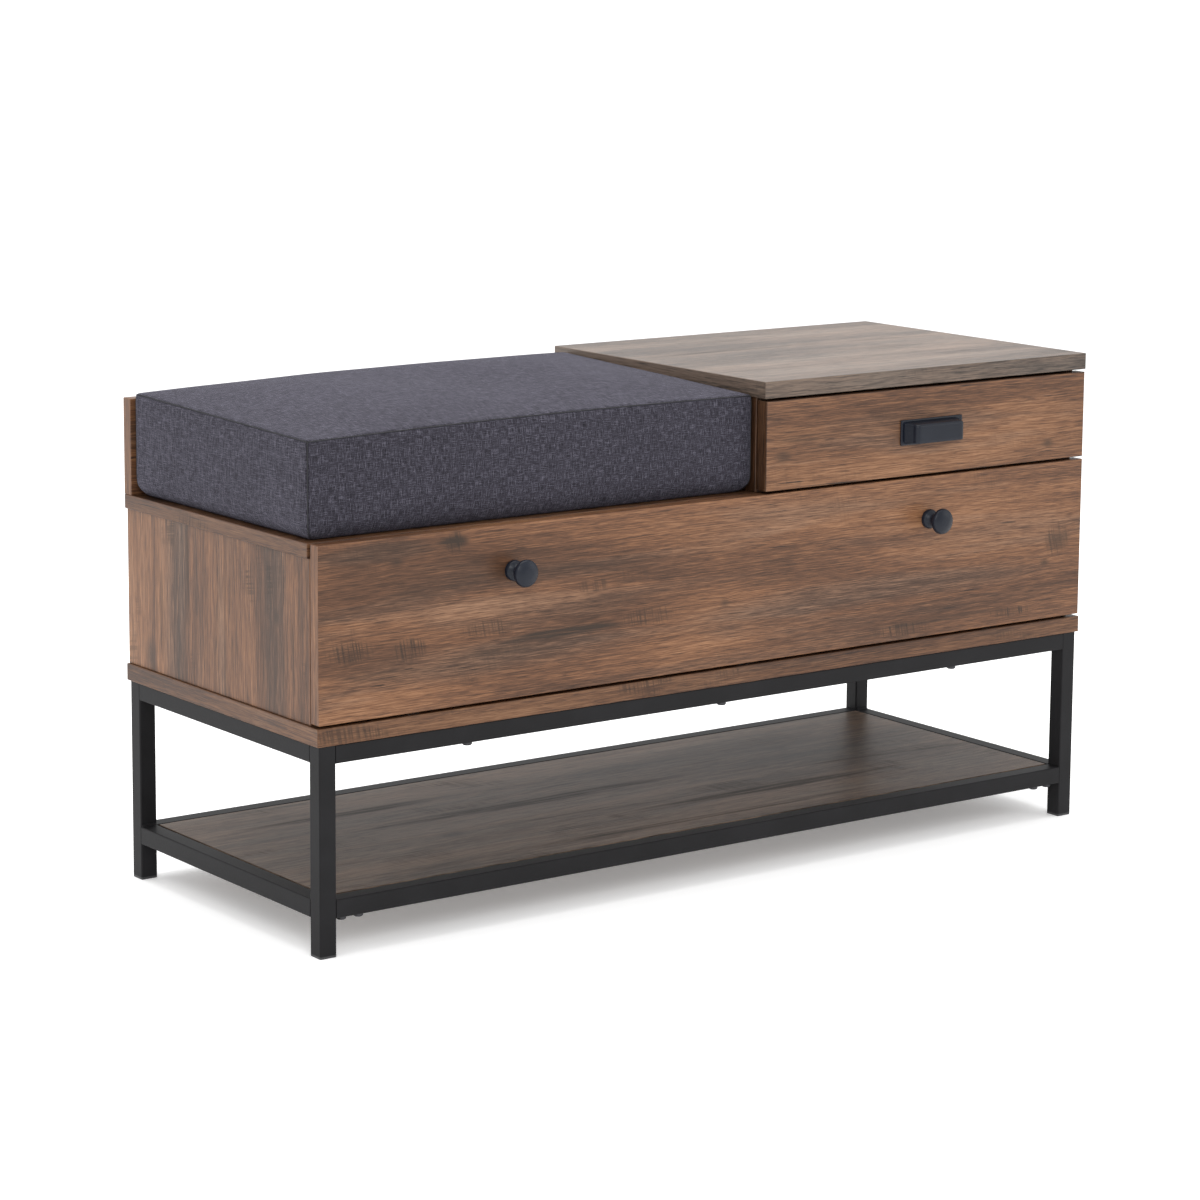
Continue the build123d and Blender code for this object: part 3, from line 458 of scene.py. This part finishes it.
def coatMetal():
    tubes = [n for n in nodes if n.endswith(("_leg", "_rail")) or n in ("rail_spigots", "shelf_tabs")]
    coat = powderCoat("black_powder_coat", (0.0075, 0.0072, 0.008), (0.013, 0.0125, 0.014),
                      520.0, 0.44, 0.16)
    paint(tubes, coat)
    paint(["rail_bolts", "base_screws", "shelf_screws"],
          platedSteel("black_oxide", (0.07, 0.07, 0.075), 0.4, (700.0,) * 3))
    zinc = platedSteel("zinc_plate", (0.60, 0.61, 0.64), 0.26, (900.0, 120.0, 900.0))
    paint([n for n in nodes if "screws" in n and n not in ("base_screws", "shelf_screws")]
          + [n for n in nodes if "_slide" in n and "screws" not in n]
          + ["slide_balls", "ball_cages", "hinge_leaves", "hinge_pins", "hinge_sockets", "strike_plates",
             "cam_locks", "cam_bolts"], zinc)
    paint(["magnetic_catches"], platedSteel("nickel", (0.42, 0.41, 0.39), 0.22, (800.0,) * 3))
    paint(["leg_glides"], mouldedPlastic())
    paint(["wood_dowels"], beech())
    paint(["lower_back_panel", "drawer_bottom"], hardboardFinish())
    return coat


def newPiece(name, points, faces, material):
    mesh = bpy.data.meshes.new(name)
    mesh.from_pydata(np.asarray(points, float).reshape(-1, 3), [], faces)
    mesh.validate()
    mesh.update()
    mesh.polygons.foreach_set("use_smooth", np.full(len(mesh.polygons), True))
    mesh.materials.append(material)
    piece = bpy.data.objects.new(name, mesh)
    bpy.context.scene.collection.objects.link(piece)
    return piece


def addModifier(piece, kind, **values):
    modifier = piece.modifiers.new(kind.lower(), kind)
    for key, value in values.items():
        setattr(modifier, key, value)
    return modifier


# Merges doubles, and turns every face outwards
def closeUp(piece, reach=1e-6):
    shape = bmesh.new()
    shape.from_mesh(piece.data)
    bmesh.ops.remove_doubles(shape, verts=shape.verts, dist=reach)
    bmesh.ops.dissolve_degenerate(shape, edges=shape.edges, dist=reach / 10)
    bmesh.ops.recalc_face_normals(shape, faces=shape.faces)
    shape.to_mesh(piece.data)
    shape.free()
    piece.data.update()


# Quads of a grid of rows by columns points, its last column joined to its first where asked
def gridFaces(rows, cols, wrapCols=False, start=0):
    r = np.arange(rows - 1)
    c = np.arange(cols if wrapCols else cols - 1)
    r, c = (a.ravel() for a in np.meshgrid(r, c, indexing="ij"))
    r1, c1 = r + 1, (c + 1) % cols
    quads = np.stack([r * cols + c, r * cols + c1, r1 * cols + c1, r1 * cols + c], 1) + start
    return quads.tolist()


# A smooth curve through a few points: each coordinate is a cubic of the distance along the chords
def smoothCurve(points, count):
    points = np.asarray(points, float)
    reach = np.r_[0, np.cumsum(np.linalg.norm(np.diff(points, axis=0), axis=1))]
    slope = np.gradient(points, reach, axis=0)
    t = np.linspace(0, reach[-1], count)
    i = np.clip(np.searchsorted(reach, t, side="right") - 1, 0, len(reach) - 2)
    h = (reach[i + 1] - reach[i])[:, None]
    s = ((t - reach[i]) / h[:, 0])[:, None]
    return ((2 * s**3 - 3 * s**2 + 1) * points[i] + (s**3 - 2 * s**2 + s) * h * slope[i]
            + (3 * s**2 - 2 * s**3) * points[i + 1] + (s**3 - s**2) * h * slope[i + 1])


# Knob: a profile of radius against reach, turned about the axis that points out of the door
knobShape = {
    "profile": ((0.0, 0.0), (0.735, 0.0), (0.750, 0.07), (0.71, 0.14), (0.54, 0.22), (0.40, 0.32),
                (0.40, 0.43), (0.55, 0.56), (0.84, 0.69), (0.985, 0.76), (0.95, 0.85), (0.78, 0.92),
                (0.45, 0.98), (0.0, 1.0)),
    "turns": 72,
    "steps": 70,
}


def makeKnob(side, material):
    low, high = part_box(side + "_knob")
    radius, reach = (high.x - low.x) / 2, high.y - low.y
    r, d = smoothCurve(knobShape["profile"], knobShape["steps"]).T
    angle = np.linspace(0, 2 * np.pi, knobShape["turns"], endpoint=False)
    r = np.clip(r, 0, None)[:, None] * radius
    x = (low.x + high.x) / 2 + r * np.cos(angle)
    z = (low.z + high.z) / 2 + r * np.sin(angle)
    y = np.broadcast_to(high.y - d[:, None] * reach, x.shape)
    points = np.stack([x, y, z], -1)
    piece = newPiece("turned_knob_" + side, points, gridFaces(*x.shape, wrapCols=True), material)
    closeUp(piece)
    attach(piece, "door")
    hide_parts(side + "_knob")


# Points of a rounded box: each point of a box's face grid is pulled onto the sphere of the edge
# radius about the nearest point of the smaller box inside it. Also gives each point's share of
# the box along x, y and z.
def roundedBox(low, high, radius, gap):
    low, high = np.array(low, float), np.array(high, float)
    size = high - low
    counts = np.maximum((size / gap).round().astype(int), 2)
    shares, faces, total = [], [], 0
    for axis in range(3):
        u, v = [a for a in range(3) if a != axis]
        for side in (0, 1):
            gu, gv = np.meshgrid(np.linspace(0, 1, counts[u] + 1), np.linspace(0, 1, counts[v] + 1),
                                 indexing="ij")
            share = np.zeros(gu.shape + (3,))
            share[..., axis], share[..., u], share[..., v] = side, gu, gv
            quads = np.array(gridFaces(*gu.shape, start=total))
            faces.append(quads[:, ::-1] if (axis != 1) == (side == 1) else quads)
            shares.append(share.reshape(-1, 3))
            total += gu.size
    _, first, inverse = np.unique(np.concatenate(shares).round(6), axis=0,
                                  return_index=True, return_inverse=True)
    share = np.concatenate(shares)[first]
    box = low + share * size
    inner = np.clip(box, low + radius, high - radius)
    away = box - inner
    far = np.maximum(np.linalg.norm(away, axis=1, keepdims=True), 1e-9)
    return inner + away / far * radius, inverse.ravel()[np.concatenate(faces)].tolist(), share


# Cup pull: a plate with a raised rim, and a hood whose wall follows a U seen from above,
# then rolls over its top edge and runs back to the plate
pullShape = {
    "plate": 2.4 * mm,
    "plateEdge": 0.9 * mm,
    "plateMesh": 2.0 * mm,
    "rim": 2.0 * mm,
    "rimSlope": 1.2 * mm,
    "dish": 0.9 * mm,         # depth of the plate's face inside its rim
    "side": 4.0 * mm,         # plate left free beside and above the hood
    "foot": 3.6 * mm,         # and below it
    "behind": 1.0 * mm,       # hood's front behind the CAD solid's
    "sink": 1.5 * mm,         # hood's ends in the plate
    "wall": 1.6 * mm,
    "taper": 9.0 * mm,
    "corner": 5.0 * mm,
    "roll": 3.2 * mm,
    "slope": 1.2 * mm,        # rise of the hood's top towards the plate
    "slopeFrom": 6.0 * mm,
    "wallEdge": 0.35 * mm,
}


def makePull(material):
    low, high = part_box("cup_pull")
    shape = pullShape
    plateLow = (low.x, high.y - shape["plate"], low.z)
    points, faces, _ = roundedBox(plateLow, tuple(high), shape["plateEdge"], shape["plateMesh"])
    mid = np.array([(low.x + high.x) / 2, 0, (low.z + high.z) / 2])
    half = np.array([(high.x - low.x) / 2, 1, (high.z - low.z) / 2])
    edge = np.max(np.abs((points - mid) / half)[:, [0, 2]] * half[[0, 2]] - half[[0, 2]], axis=1)
    front = points[:, 1] < high.y - shape["plate"] * 0.5
    dish = np.clip((-edge - shape["rim"]) / shape["rimSlope"], 0, 1)
    points[:, 1] += np.where(front, dish * shape["dish"], 0)
    plate = newPiece("pull_plate", points, faces, material)
    closeUp(plate, 1e-5)
    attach(plate, "drawer")

    width, reach = high.x - low.x - 2 * shape["side"], high.y - low.y - shape["behind"]
    top, bottom = high.z - shape["side"], low.z + shape["foot"]
    frontHalf, backHalf, corner = width / 2 - shape["taper"] * 0.6, width / 2, shape["corner"]
    turn = np.linspace(0, np.pi / 2, 9)
    side = np.linspace(0, 1, 8)[:-1]
    leftX = -backHalf + (backHalf - frontHalf) * side
    leftY = side * (reach - corner)
    bendX = -frontHalf + corner * (1 - np.cos(turn))
    bendY = reach - corner + corner * np.sin(turn)
    flat = np.linspace(-frontHalf + corner, frontHalf - corner, 24)[1:-1]
    pathX = np.r_[leftX, bendX, flat, -bendX[::-1], -leftX[::-1]]
    pathY = np.r_[leftY, bendY, np.full(len(flat), reach), bendY[::-1], leftY[::-1]]
    rise = np.linspace(0, 1, 7)[:-1]
    roll = np.linspace(0, np.pi / 2, 8)
    inward = np.linspace(0, 1, 12)[1:]
    rollR = shape["roll"]
    height = np.r_[bottom + rise * (top - rollR - bottom), top - rollR + rollR * np.sin(roll),
                   np.full(len(inward), top)]
    shrink = np.r_[np.zeros(len(rise)), rollR * (1 - np.cos(roll)), np.full(len(inward), rollR)]
    back = np.r_[np.zeros(len(rise) + len(roll)), inward]
    y = np.clip(pathY[None, :] - shrink[:, None], 0, None)
    y = y * (1 - back[:, None])
    x = pathX[None, :] * (1 - shrink[:, None] / backHalf)
    sloped = height[:, None] > bottom + shape["slopeFrom"]
    z = np.broadcast_to(height[:, None], x.shape) + (1 - y / reach) * shape["slope"] * sloped
    hoodPoints = np.stack([mid[0] + x, high.y - shape["sink"] - y, z], -1)
    hood = newPiece("pull_hood", hoodPoints, gridFaces(*x.shape), material)
    closeUp(hood, 1e-6)
    addModifier(hood, "SOLIDIFY", thickness=shape["wall"], offset=-1.0)
    addModifier(hood, "BEVEL", width=shape["wallEdge"], segments=2, limit_method="ANGLE")
    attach(hood, "drawer")
    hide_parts("cup_pull")
    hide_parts("cup_pull")


# Weld beads: a fillet profile carried across the tube, its size rippling along the path
weldShape = {
    "size": 2.6 * mm,
    "ripple": 0.22,
    "pitch": 2.4 * mm,
    "inset": 0.9 * mm,        # from the tube's sides
    "fade": 1.2 * mm,         # length over which an end tapers off
    "root": -0.1,             # the bead's inner corner, in the tubes
    "steps": 44,
    "round": 7,
}


# A quarter round swept along x, closed through the corner where the tubes meet
def weldBead(lowX, highX, y, inward, z, side):
    shape = weldShape
    x = np.linspace(lowX + shape["inset"], highX - shape["inset"], shape["steps"])
    wave = np.abs(np.sin(np.pi * (x - lowX) / shape["pitch"]))
    fade = np.clip(np.minimum(x - x[0], x[-1] - x) / shape["fade"], 0.05, 1) ** 0.5
    size = (shape["size"] * (1 - shape["ripple"] * wave) * fade)[:, None]
    turn = np.linspace(0, np.pi / 2, shape["round"])
    flare = 0.80 + 0.20 * np.cos(4 * turn)
    offY = np.r_[np.cos(turn) * flare, shape["root"]]
    offZ = np.r_[np.sin(turn) * flare, shape["root"]]
    return np.stack([np.broadcast_to(x[:, None], (len(x), len(offY))),
                     y + inward * size * offY, z + side * size * offZ], -1)


def makeWelds(material):
    points, faces = [], []
    for end in ("left", "right"):
        for level, sides in (("upper", (-1,)), ("lower", (-1, 1))):
            low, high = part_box(end + "_" + level + "_end_rail")
            for y, inward in ((low.y, 1), (high.y, -1)):
                for side in sides:
                    z = high.z if side > 0 else low.z
                    bead = weldBead(low.x, high.x, y, inward, z, side)
                    steps, count = bead.shape[:2]
                    first = sum(len(p) for p in points)
                    last = first + (steps - 1) * count
                    faces += gridFaces(steps, count, wrapCols=True, start=first)
                    faces += [list(range(first, first + count)), list(range(last, last + count))]
                    points.append(bead.reshape(-1, 3))
    piece = newPiece("weld_beads", np.concatenate(points), faces, material)
    closeUp(piece, 1e-7)
    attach(piece, "cabinet")


# Cushion
cushionShape = {
    "edge": 1.0 * mm,           # rounding of the sewn edges
    "gap": 6.0 * mm,            # mesh before the subdivision
    "seamDrop": 5.5 * mm,       # seam below the CAD solid's top
    "crown": 12 * mm,
    "corners": {"frontLeft": -2 * mm, "frontRight": 3 * mm, "backLeft": 7 * mm, "backRight": 14 * mm},
    "arch": 3.0 * mm,           # front and back edges rise in their middle
    "frontReach": 4.5 * mm,     # the front panel starts this much further forward
    "rightGap": 0.1 * mm,       # the right panel starts this far inside the CAD solid
    "bulge": 3.0 * mm,
    "endShare": 0.4,            # the ends' share of the bulge
    "tuck": 9.0 * mm,           # underside drawn in, over the lowest tuckHeight
    "tuckHeight": 14 * mm,
    "foam": 0.7 * mm,           # unevenness of the top
    "before": (0.8 * mm, 4.0 * mm, 0.0),          # furthest that the skin may pass the CAD solid
    "beyond": (0.1 * mm, 0.8 * mm, 30.0 * mm),    # on its low and on its high sides
    "seamDepth": 0.6 * mm,
    "seamWidth": 2.0 * mm,
    # seamShade: width of the band of painted shade along each seam
    "seamShade": 3.0 * mm,
    "thread": 0.5 * mm,
    "threadLift": 0.25 * mm,
}
clothPass = {
    "pressure": 4.0,
    "mass": 0.3,
    "quality": 6,
    "stiffness": 18,
    "bending": 0.6,
    "frames": 20,
    "mostScale": 4.0,           # sideways movement is scaled up by this at most
}


def fabricWeave():
    material, tree, surface = newMaterial("charcoal_linen", Roughness=0.92, Specular_IOR_Level=0.2,
                                          Sheen_Weight=0.12, Sheen_Roughness=0.5)
    surface.inputs["Sheen Tint"].default_value = (0.60, 0.58, 0.76, 1.0)
    x, y, z = splitVector(objectPoint(tree))
    nx, ny, nz = splitVector(objectNormal(tree))
    faceZ = abs(nz).above(0.62)
    faceX = abs(nx).above(0.62) * (1.0 - faceZ)
    faceY = 1.0 - faceX - faceZ
    u = faceY * x + faceX * y + faceZ * x
    v = (faceY + faceX) * z + faceZ * y
    wander = noise(joinVector(u, v, 0.0), (9.0, 9.0, 1.0), 2.0)
    u = u + wander * 0.004
    v = v + noise(joinVector(u, v, 3.0), (9.0, 9.0, 1.0), 2.0) * 0.004
    plane = joinVector(u, v, faceX * 0.3 + faceZ * 0.7)
    warpThread = noise(plane, (1900.0, 100.0, 1.0), 2.0, 0.6)
    weftThread = noise(plane, (100.0, 1900.0, 1.0), 2.0, 0.6)
    slub = noise(plane, (600.0, 110.0, 1.0), 3.0, 0.7)
    fleck = noise(plane, (2300.0, 2300.0, 1.0), 2.0, 0.7)
    over = (u * 5200.0).math("SINE", u * 5200.0) * (v * 5200.0).math("SINE", v * 5200.0)
    side = over.step(-0.25, 0.25)
    thread = warpThread * side + weftThread * (1.0 - side)
    cloud = noise(plane, (7.0, 7.0, 1.0), 2.0)
    tone = 0.5 + spread(thread, 2.9) + spread(slub, 0.25) + spread(fleck, 0.6) + spread(cloud, 0.12)
    colour = ramp(tone, [(0.22, (0.008, 0.007, 0.010)), (0.48, (0.022, 0.020, 0.028)),
                         (0.68, (0.043, 0.040, 0.053)), (0.92, (0.13, 0.124, 0.158))])
    # painted shade: the fabric darkens to near black in a band along each seam, where the pressed-in crease
    # lies in shade
    seam = attribute(tree, "seam").step(0.72, 0.96)
    colour = mixColour(seam * 0.9, colour, (0.006, 0.006, 0.009))
    height = thread * 0.6 + over * 0.25 + slub * 0.4 - seam * 2.0
    feed(tree, surface, Base_Color=colour, Normal=bump(height, 0.00055, 0.75))
    return material


def seamThread():
    material, tree, surface = newMaterial("seam_thread", Roughness=0.7)
    point = objectPoint(tree)
    ply = noise(point, (2400.0,) * 3, 1.0)
    feed(tree, surface, Base_Color=mixColour(ply, (0.004, 0.004, 0.006), (0.016, 0.015, 0.020)),
         Normal=bump(ply, 0.0002, 0.6))
    return material


# Blows the panels out from their pinned seams with cloth pressure, and returns the new points
def inflate(piece, pinned):
    frames = clothPass["frames"]
    group = piece.vertex_groups.new(name="seams")
    group.add(np.flatnonzero(pinned).tolist(), 1.0, "REPLACE")
    cloth = piece.modifiers.new("cloth", "CLOTH")
    settings = cloth.settings
    settings.use_pressure = True
    settings.uniform_pressure_force = clothPass["pressure"]
    settings.vertex_group_mass = "seams"
    settings.mass = clothPass["mass"]
    settings.quality = clothPass["quality"]
    settings.tension_stiffness = clothPass["stiffness"]
    settings.compression_stiffness = clothPass["stiffness"]
    settings.bending_stiffness = clothPass["bending"]
    settings.effector_weights.gravity = 0
    cloth.point_cache.frame_start = 1
    cloth.point_cache.frame_end = frames
    for step in range(1, frames + 1):
        bpy.context.scene.frame_set(step)
    view = piece.evaluated_get(bpy.context.evaluated_depsgraph_get())
    moved = np.zeros(len(view.data.vertices) * 3)
    view.data.vertices.foreach_get("co", moved)
    piece.modifiers.remove(cloth)
    piece.vertex_groups.remove(group)
    bpy.context.scene.frame_set(1)
    return moved.reshape(-1, 3)


def readPoints(mesh):
    flat = np.zeros(len(mesh.vertices) * 3)
    mesh.vertices.foreach_get("co", flat)
    return flat.reshape(-1, 3)


def writePoints(mesh, points):
    mesh.vertices.foreach_set("co", np.asarray(points, float).ravel())
    mesh.update()


def readNormals(mesh):
    flat = np.zeros(len(mesh.vertices) * 3)
    mesh.vertex_normals.foreach_get("vector", flat)
    return flat.reshape(-1, 3)


# The sewn edges: a loop round the top, and one line down each corner
def seamPaths(share):
    x, y, z = share.T
    sides = (y == 0, x == 1, y == 1, x == 0)
    keys = (x, y, -x, -y)
    loop = np.concatenate([np.flatnonzero(side & (z == 1))[np.argsort(key[side & (z == 1)])][:-1]
                           for side, key in zip(sides, keys)])
    corners = [(x == a) & (y == b) for a in (0, 1) for b in (0, 1)]
    return [np.r_[loop, loop[0]]] + [np.flatnonzero(c)[np.argsort(z[c])] for c in corners]


# Round thread along a path: a circle of the thread's radius about each point, square to the path
def threadMesh(path, radius, steps, turns=6):
    line = smoothCurve(path, steps)
    ahead = np.gradient(line, axis=0)
    ahead /= np.linalg.norm(ahead, axis=1, keepdims=True)
    side = np.cross(ahead, np.array([0.31, 0.52, 0.79]))
    side /= np.linalg.norm(side, axis=1, keepdims=True)
    up = np.cross(side, ahead)
    angle = np.linspace(0, 2 * np.pi, turns, endpoint=False)[None, :, None]
    return line[:, None] + radius * (side[:, None] * np.cos(angle) + up[:, None] * np.sin(angle))


# Distance from each point to the nearest of a line's points
def nearest(line, points):
    best = np.full(len(points), np.inf)
    for block in np.array_split(np.arange(len(points)), 40):
        gaps = points[block][:, None, :] - line[None, :, :]
        best[block] = np.sqrt((gaps * gaps).sum(2).min(1))
    return best


def makeCushion():
    shape = cushionShape
    low, high = (np.array(c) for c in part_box("cushion"))
    high[2] -= shape["seamDrop"]
    bulge = np.array([shape["bulge"] * shape["endShare"], shape["bulge"], 0.0])
    boxLow, boxHigh = low + bulge, high - bulge
    boxLow[1] -= shape["frontReach"]
    boxHigh[0] = high[0] - shape["rightGap"]
    start, faces, share = roundedBox(boxLow, boxHigh, shape["edge"], shape["gap"])
    # the underside is drawn in by a parabola over its lowest part
    rise = np.clip((start[:, 2] - low[2]) / shape["tuckHeight"], 0, 1)
    centre = (boxLow + boxHigh) / 2
    half = (boxHigh - boxLow) / 2
    start[:, :2] -= ((start - centre) / half)[:, :2] * shape["tuck"] * ((1 - rise) ** 2)[:, None]
    cushion = newPiece("seat_cushion", start, faces, fabricWeave())
    paths = seamPaths(share)
    seam = np.zeros(len(start), bool)
    seam[np.concatenate(paths)] = True
    onTop = share[:, 2] == 1
    u, v, w = (np.sin(np.pi * share[:, i]) for i in range(3))
    # the pressure gives the form, and its movement is scaled to the set crown and bulge
    shift = inflate(cushion, seam | (share[:, 2] == 0)) - start
    lift = max(np.percentile(shift[onTop, 2], 97), 1e-6)
    push = max(np.percentile(np.abs(shift[~onTop, :2]), 98), 1e-6)
    shift[:, 2] *= np.where(onTop, shape["crown"] / lift, 1.0)
    shift[:, :2] *= min(shape["bulge"] / push, clothPass["mostScale"])
    moved = start + shift
    # the foam is a little uneven across the top
    x, y = start[:, 0], start[:, 1]
    wave = np.sin(x * 23 + 1.3) * np.cos(y * 31 + 0.4) + np.sin(x * 41 - y * 29)
    moved[:, 2] += np.where(onTop, wave * shape["foam"] * (u * v) ** 0.5, 0)
    # the filling is fuller towards the back: the four corners' heights, shared out by u and v,
    # raise the pad in proportion to the height above its underside
    corners = shape["corners"]
    a, b = share[:, 0], share[:, 1]
    nearEdge = corners["frontLeft"] * (1 - a) + corners["frontRight"] * a
    farEdge = corners["backLeft"] * (1 - a) + corners["backRight"] * a
    moved[:, 2] += (nearEdge * (1 - b) + farEdge * b + shape["arch"] * u) * share[:, 2]
    # what bulges further than the neighbours leave room for is cut back flat
    moved = np.clip(moved, low - shape["before"], high + shape["beyond"])
    writePoints(cushion.data, moved)
    rounds = addModifier(cushion, "SUBSURF", levels=1, render_levels=1)
    view = cushion.evaluated_get(bpy.context.evaluated_depsgraph_get())
    finer = bpy.data.meshes.new_from_object(view)
    cushion.modifiers.remove(rounds)
    cushion.data = finer
    points, normals = readPoints(finer), readNormals(finer)
    # each seam is pressed in: its depth falls off as a bell curve with the distance from it
    line = np.concatenate([smoothCurve(points[path], len(path) * 5) for path in paths])
    far = nearest(line, points)
    ripple = 1 + 0.15 * np.sin(points.sum(1) * 520)
    press = np.exp(-(far / shape["seamWidth"]) ** 2)
    points = points - normals * (press * shape["seamDepth"] * ripple)[:, None]
    writePoints(finer, points)
    # the seam attribute is the closeness to a seam, where the fabric paints shade
    onSeam = finer.attributes.new("seam", "FLOAT", "POINT")
    onSeam.data.foreach_set("value", np.exp(-(far / shape["seamShade"]) ** 2))
    finer.polygons.foreach_set("use_smooth", np.full(len(finer.polygons), True))
    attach(cushion, "cushion")
    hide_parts("cushion")

    threads, quads, total = [], [], 0
    for path in paths:
        raised = points[path] + normals[path] * shape["threadLift"]
        tube = threadMesh(raised, shape["thread"], len(path) * 2)
        steps, turns = tube.shape[:2]
        quads += gridFaces(steps, turns, wrapCols=True, start=total)
        end = total + steps * turns
        quads += [list(range(total, total + turns)), list(range(end - turns, end))]
        threads.append(tube.reshape(-1, 3))
        total = end
    thread = newPiece("seam_threads", np.concatenate(threads), quads, seamThread())
    closeUp(thread, 1e-8)
    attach(thread, "cushion")


# Studio: pale floor, broad soft lights, long lens
cameraView = {
    "place": (-2.2801, -3.0414, 1.0121),
    "azimuth": -36.372,
    "pitch": -9.007,
    "roll": 0.422,
    "lens": 106.33,
    "sensor": 36.0,
    "shiftY": -0.1,
    "clipEnd": 200,
}
lightRig = {
    "world": 1.0,
    "floorGlow": 0.22,
    "floorReach": 40,
    "key": {"place": (-2.6, -4.0, 3.0), "aim": (0.0, 0.0, 0.25), "size": 1.8, "power": 80.0},
    "fill": {"place": (2.8, -2.4, 1.5), "aim": (0.3, 0.0, 0.3), "size": 1.8, "power": 14.0},
    "rim": {"place": (-2.4, 3.2, 1.0), "aim": (-0.4, 0.0, 0.2), "size": 2.0, "power": 14.0},
    "top": {"place": (0.2, 0.6, 3.0), "aim": (0.0, 0.0, 0.2), "size": 2.6, "power": 66.0},
}


def aimAt(thing, place, target):
    thing.location = place
    thing.rotation_euler = (Vector(target) - Vector(place)).to_track_quat("-Z", "Y").to_euler()


def makeStudio():
    scene = bpy.context.scene
    view = cameraView
    data = bpy.data.cameras.new("camera")
    data.lens, data.sensor_width, data.shift_y = view["lens"], view["sensor"], view["shiftY"]
    data.clip_end = view["clipEnd"]
    camera = bpy.data.objects.new("camera", data)
    turn = (Matrix.Rotation(math.radians(view["azimuth"]), 4, "Z")
            @ Matrix.Rotation(math.radians(90 + view["pitch"]), 4, "X")
            @ Matrix.Rotation(math.radians(view["roll"]), 4, "Z"))
    camera.matrix_world = Matrix.Translation(view["place"]) @ turn
    scene.collection.objects.link(camera)
    scene.camera = camera

    world = bpy.data.worlds.new("studio")
    world.use_nodes = True
    world.node_tree.nodes["Background"].inputs[0].default_value = (1.0, 1.0, 1.0, 1.0)
    world.node_tree.nodes["Background"].inputs[1].default_value = lightRig["world"]
    scene.world = world
    for name in ("key", "fill", "rim", "top"):
        spec = lightRig[name]
        lamp = bpy.data.lights.new(name, "AREA")
        lamp.size, lamp.energy = spec["size"], spec["power"]
        holder = bpy.data.objects.new(name, lamp)
        aimAt(holder, spec["place"], spec["aim"])
        scene.collection.objects.link(holder)
    scene.view_settings.view_transform = "Standard"

    material, tree, surface = newMaterial("studio_floor", Roughness=0.9)
    point = objectPoint(tree)
    surface.inputs["Emission Strength"].default_value = lightRig["floorGlow"]
    surface.inputs["Emission Color"].default_value = (1.0, 1.0, 1.0, 1.0)
    feed(tree, surface, Base_Color=mixColour(noise(point, (3.0,) * 3), (0.92,) * 3, (0.94,) * 3))
    reach = lightRig["floorReach"]
    corners = [(-reach, -reach, 0), (reach, -reach, 0), (reach, reach, 0), (-reach, reach, 0)]
    floor = newPiece("floor", corners, [(0, 1, 2, 3)], material)


coatBoards()
print("boards coated")
powder = coatMetal()
print("metal coated")
handles = powderCoat("satin_black", (0.005, 0.007, 0.013), (0.011, 0.014, 0.023), 900.0, 0.27, 0.25)
makeKnob("left", handles)
makeKnob("right", handles)
makePull(handles)
makeWelds(powder)
print("handles and welds made")
makeCushion()
print("cushion made")
makeStudio()
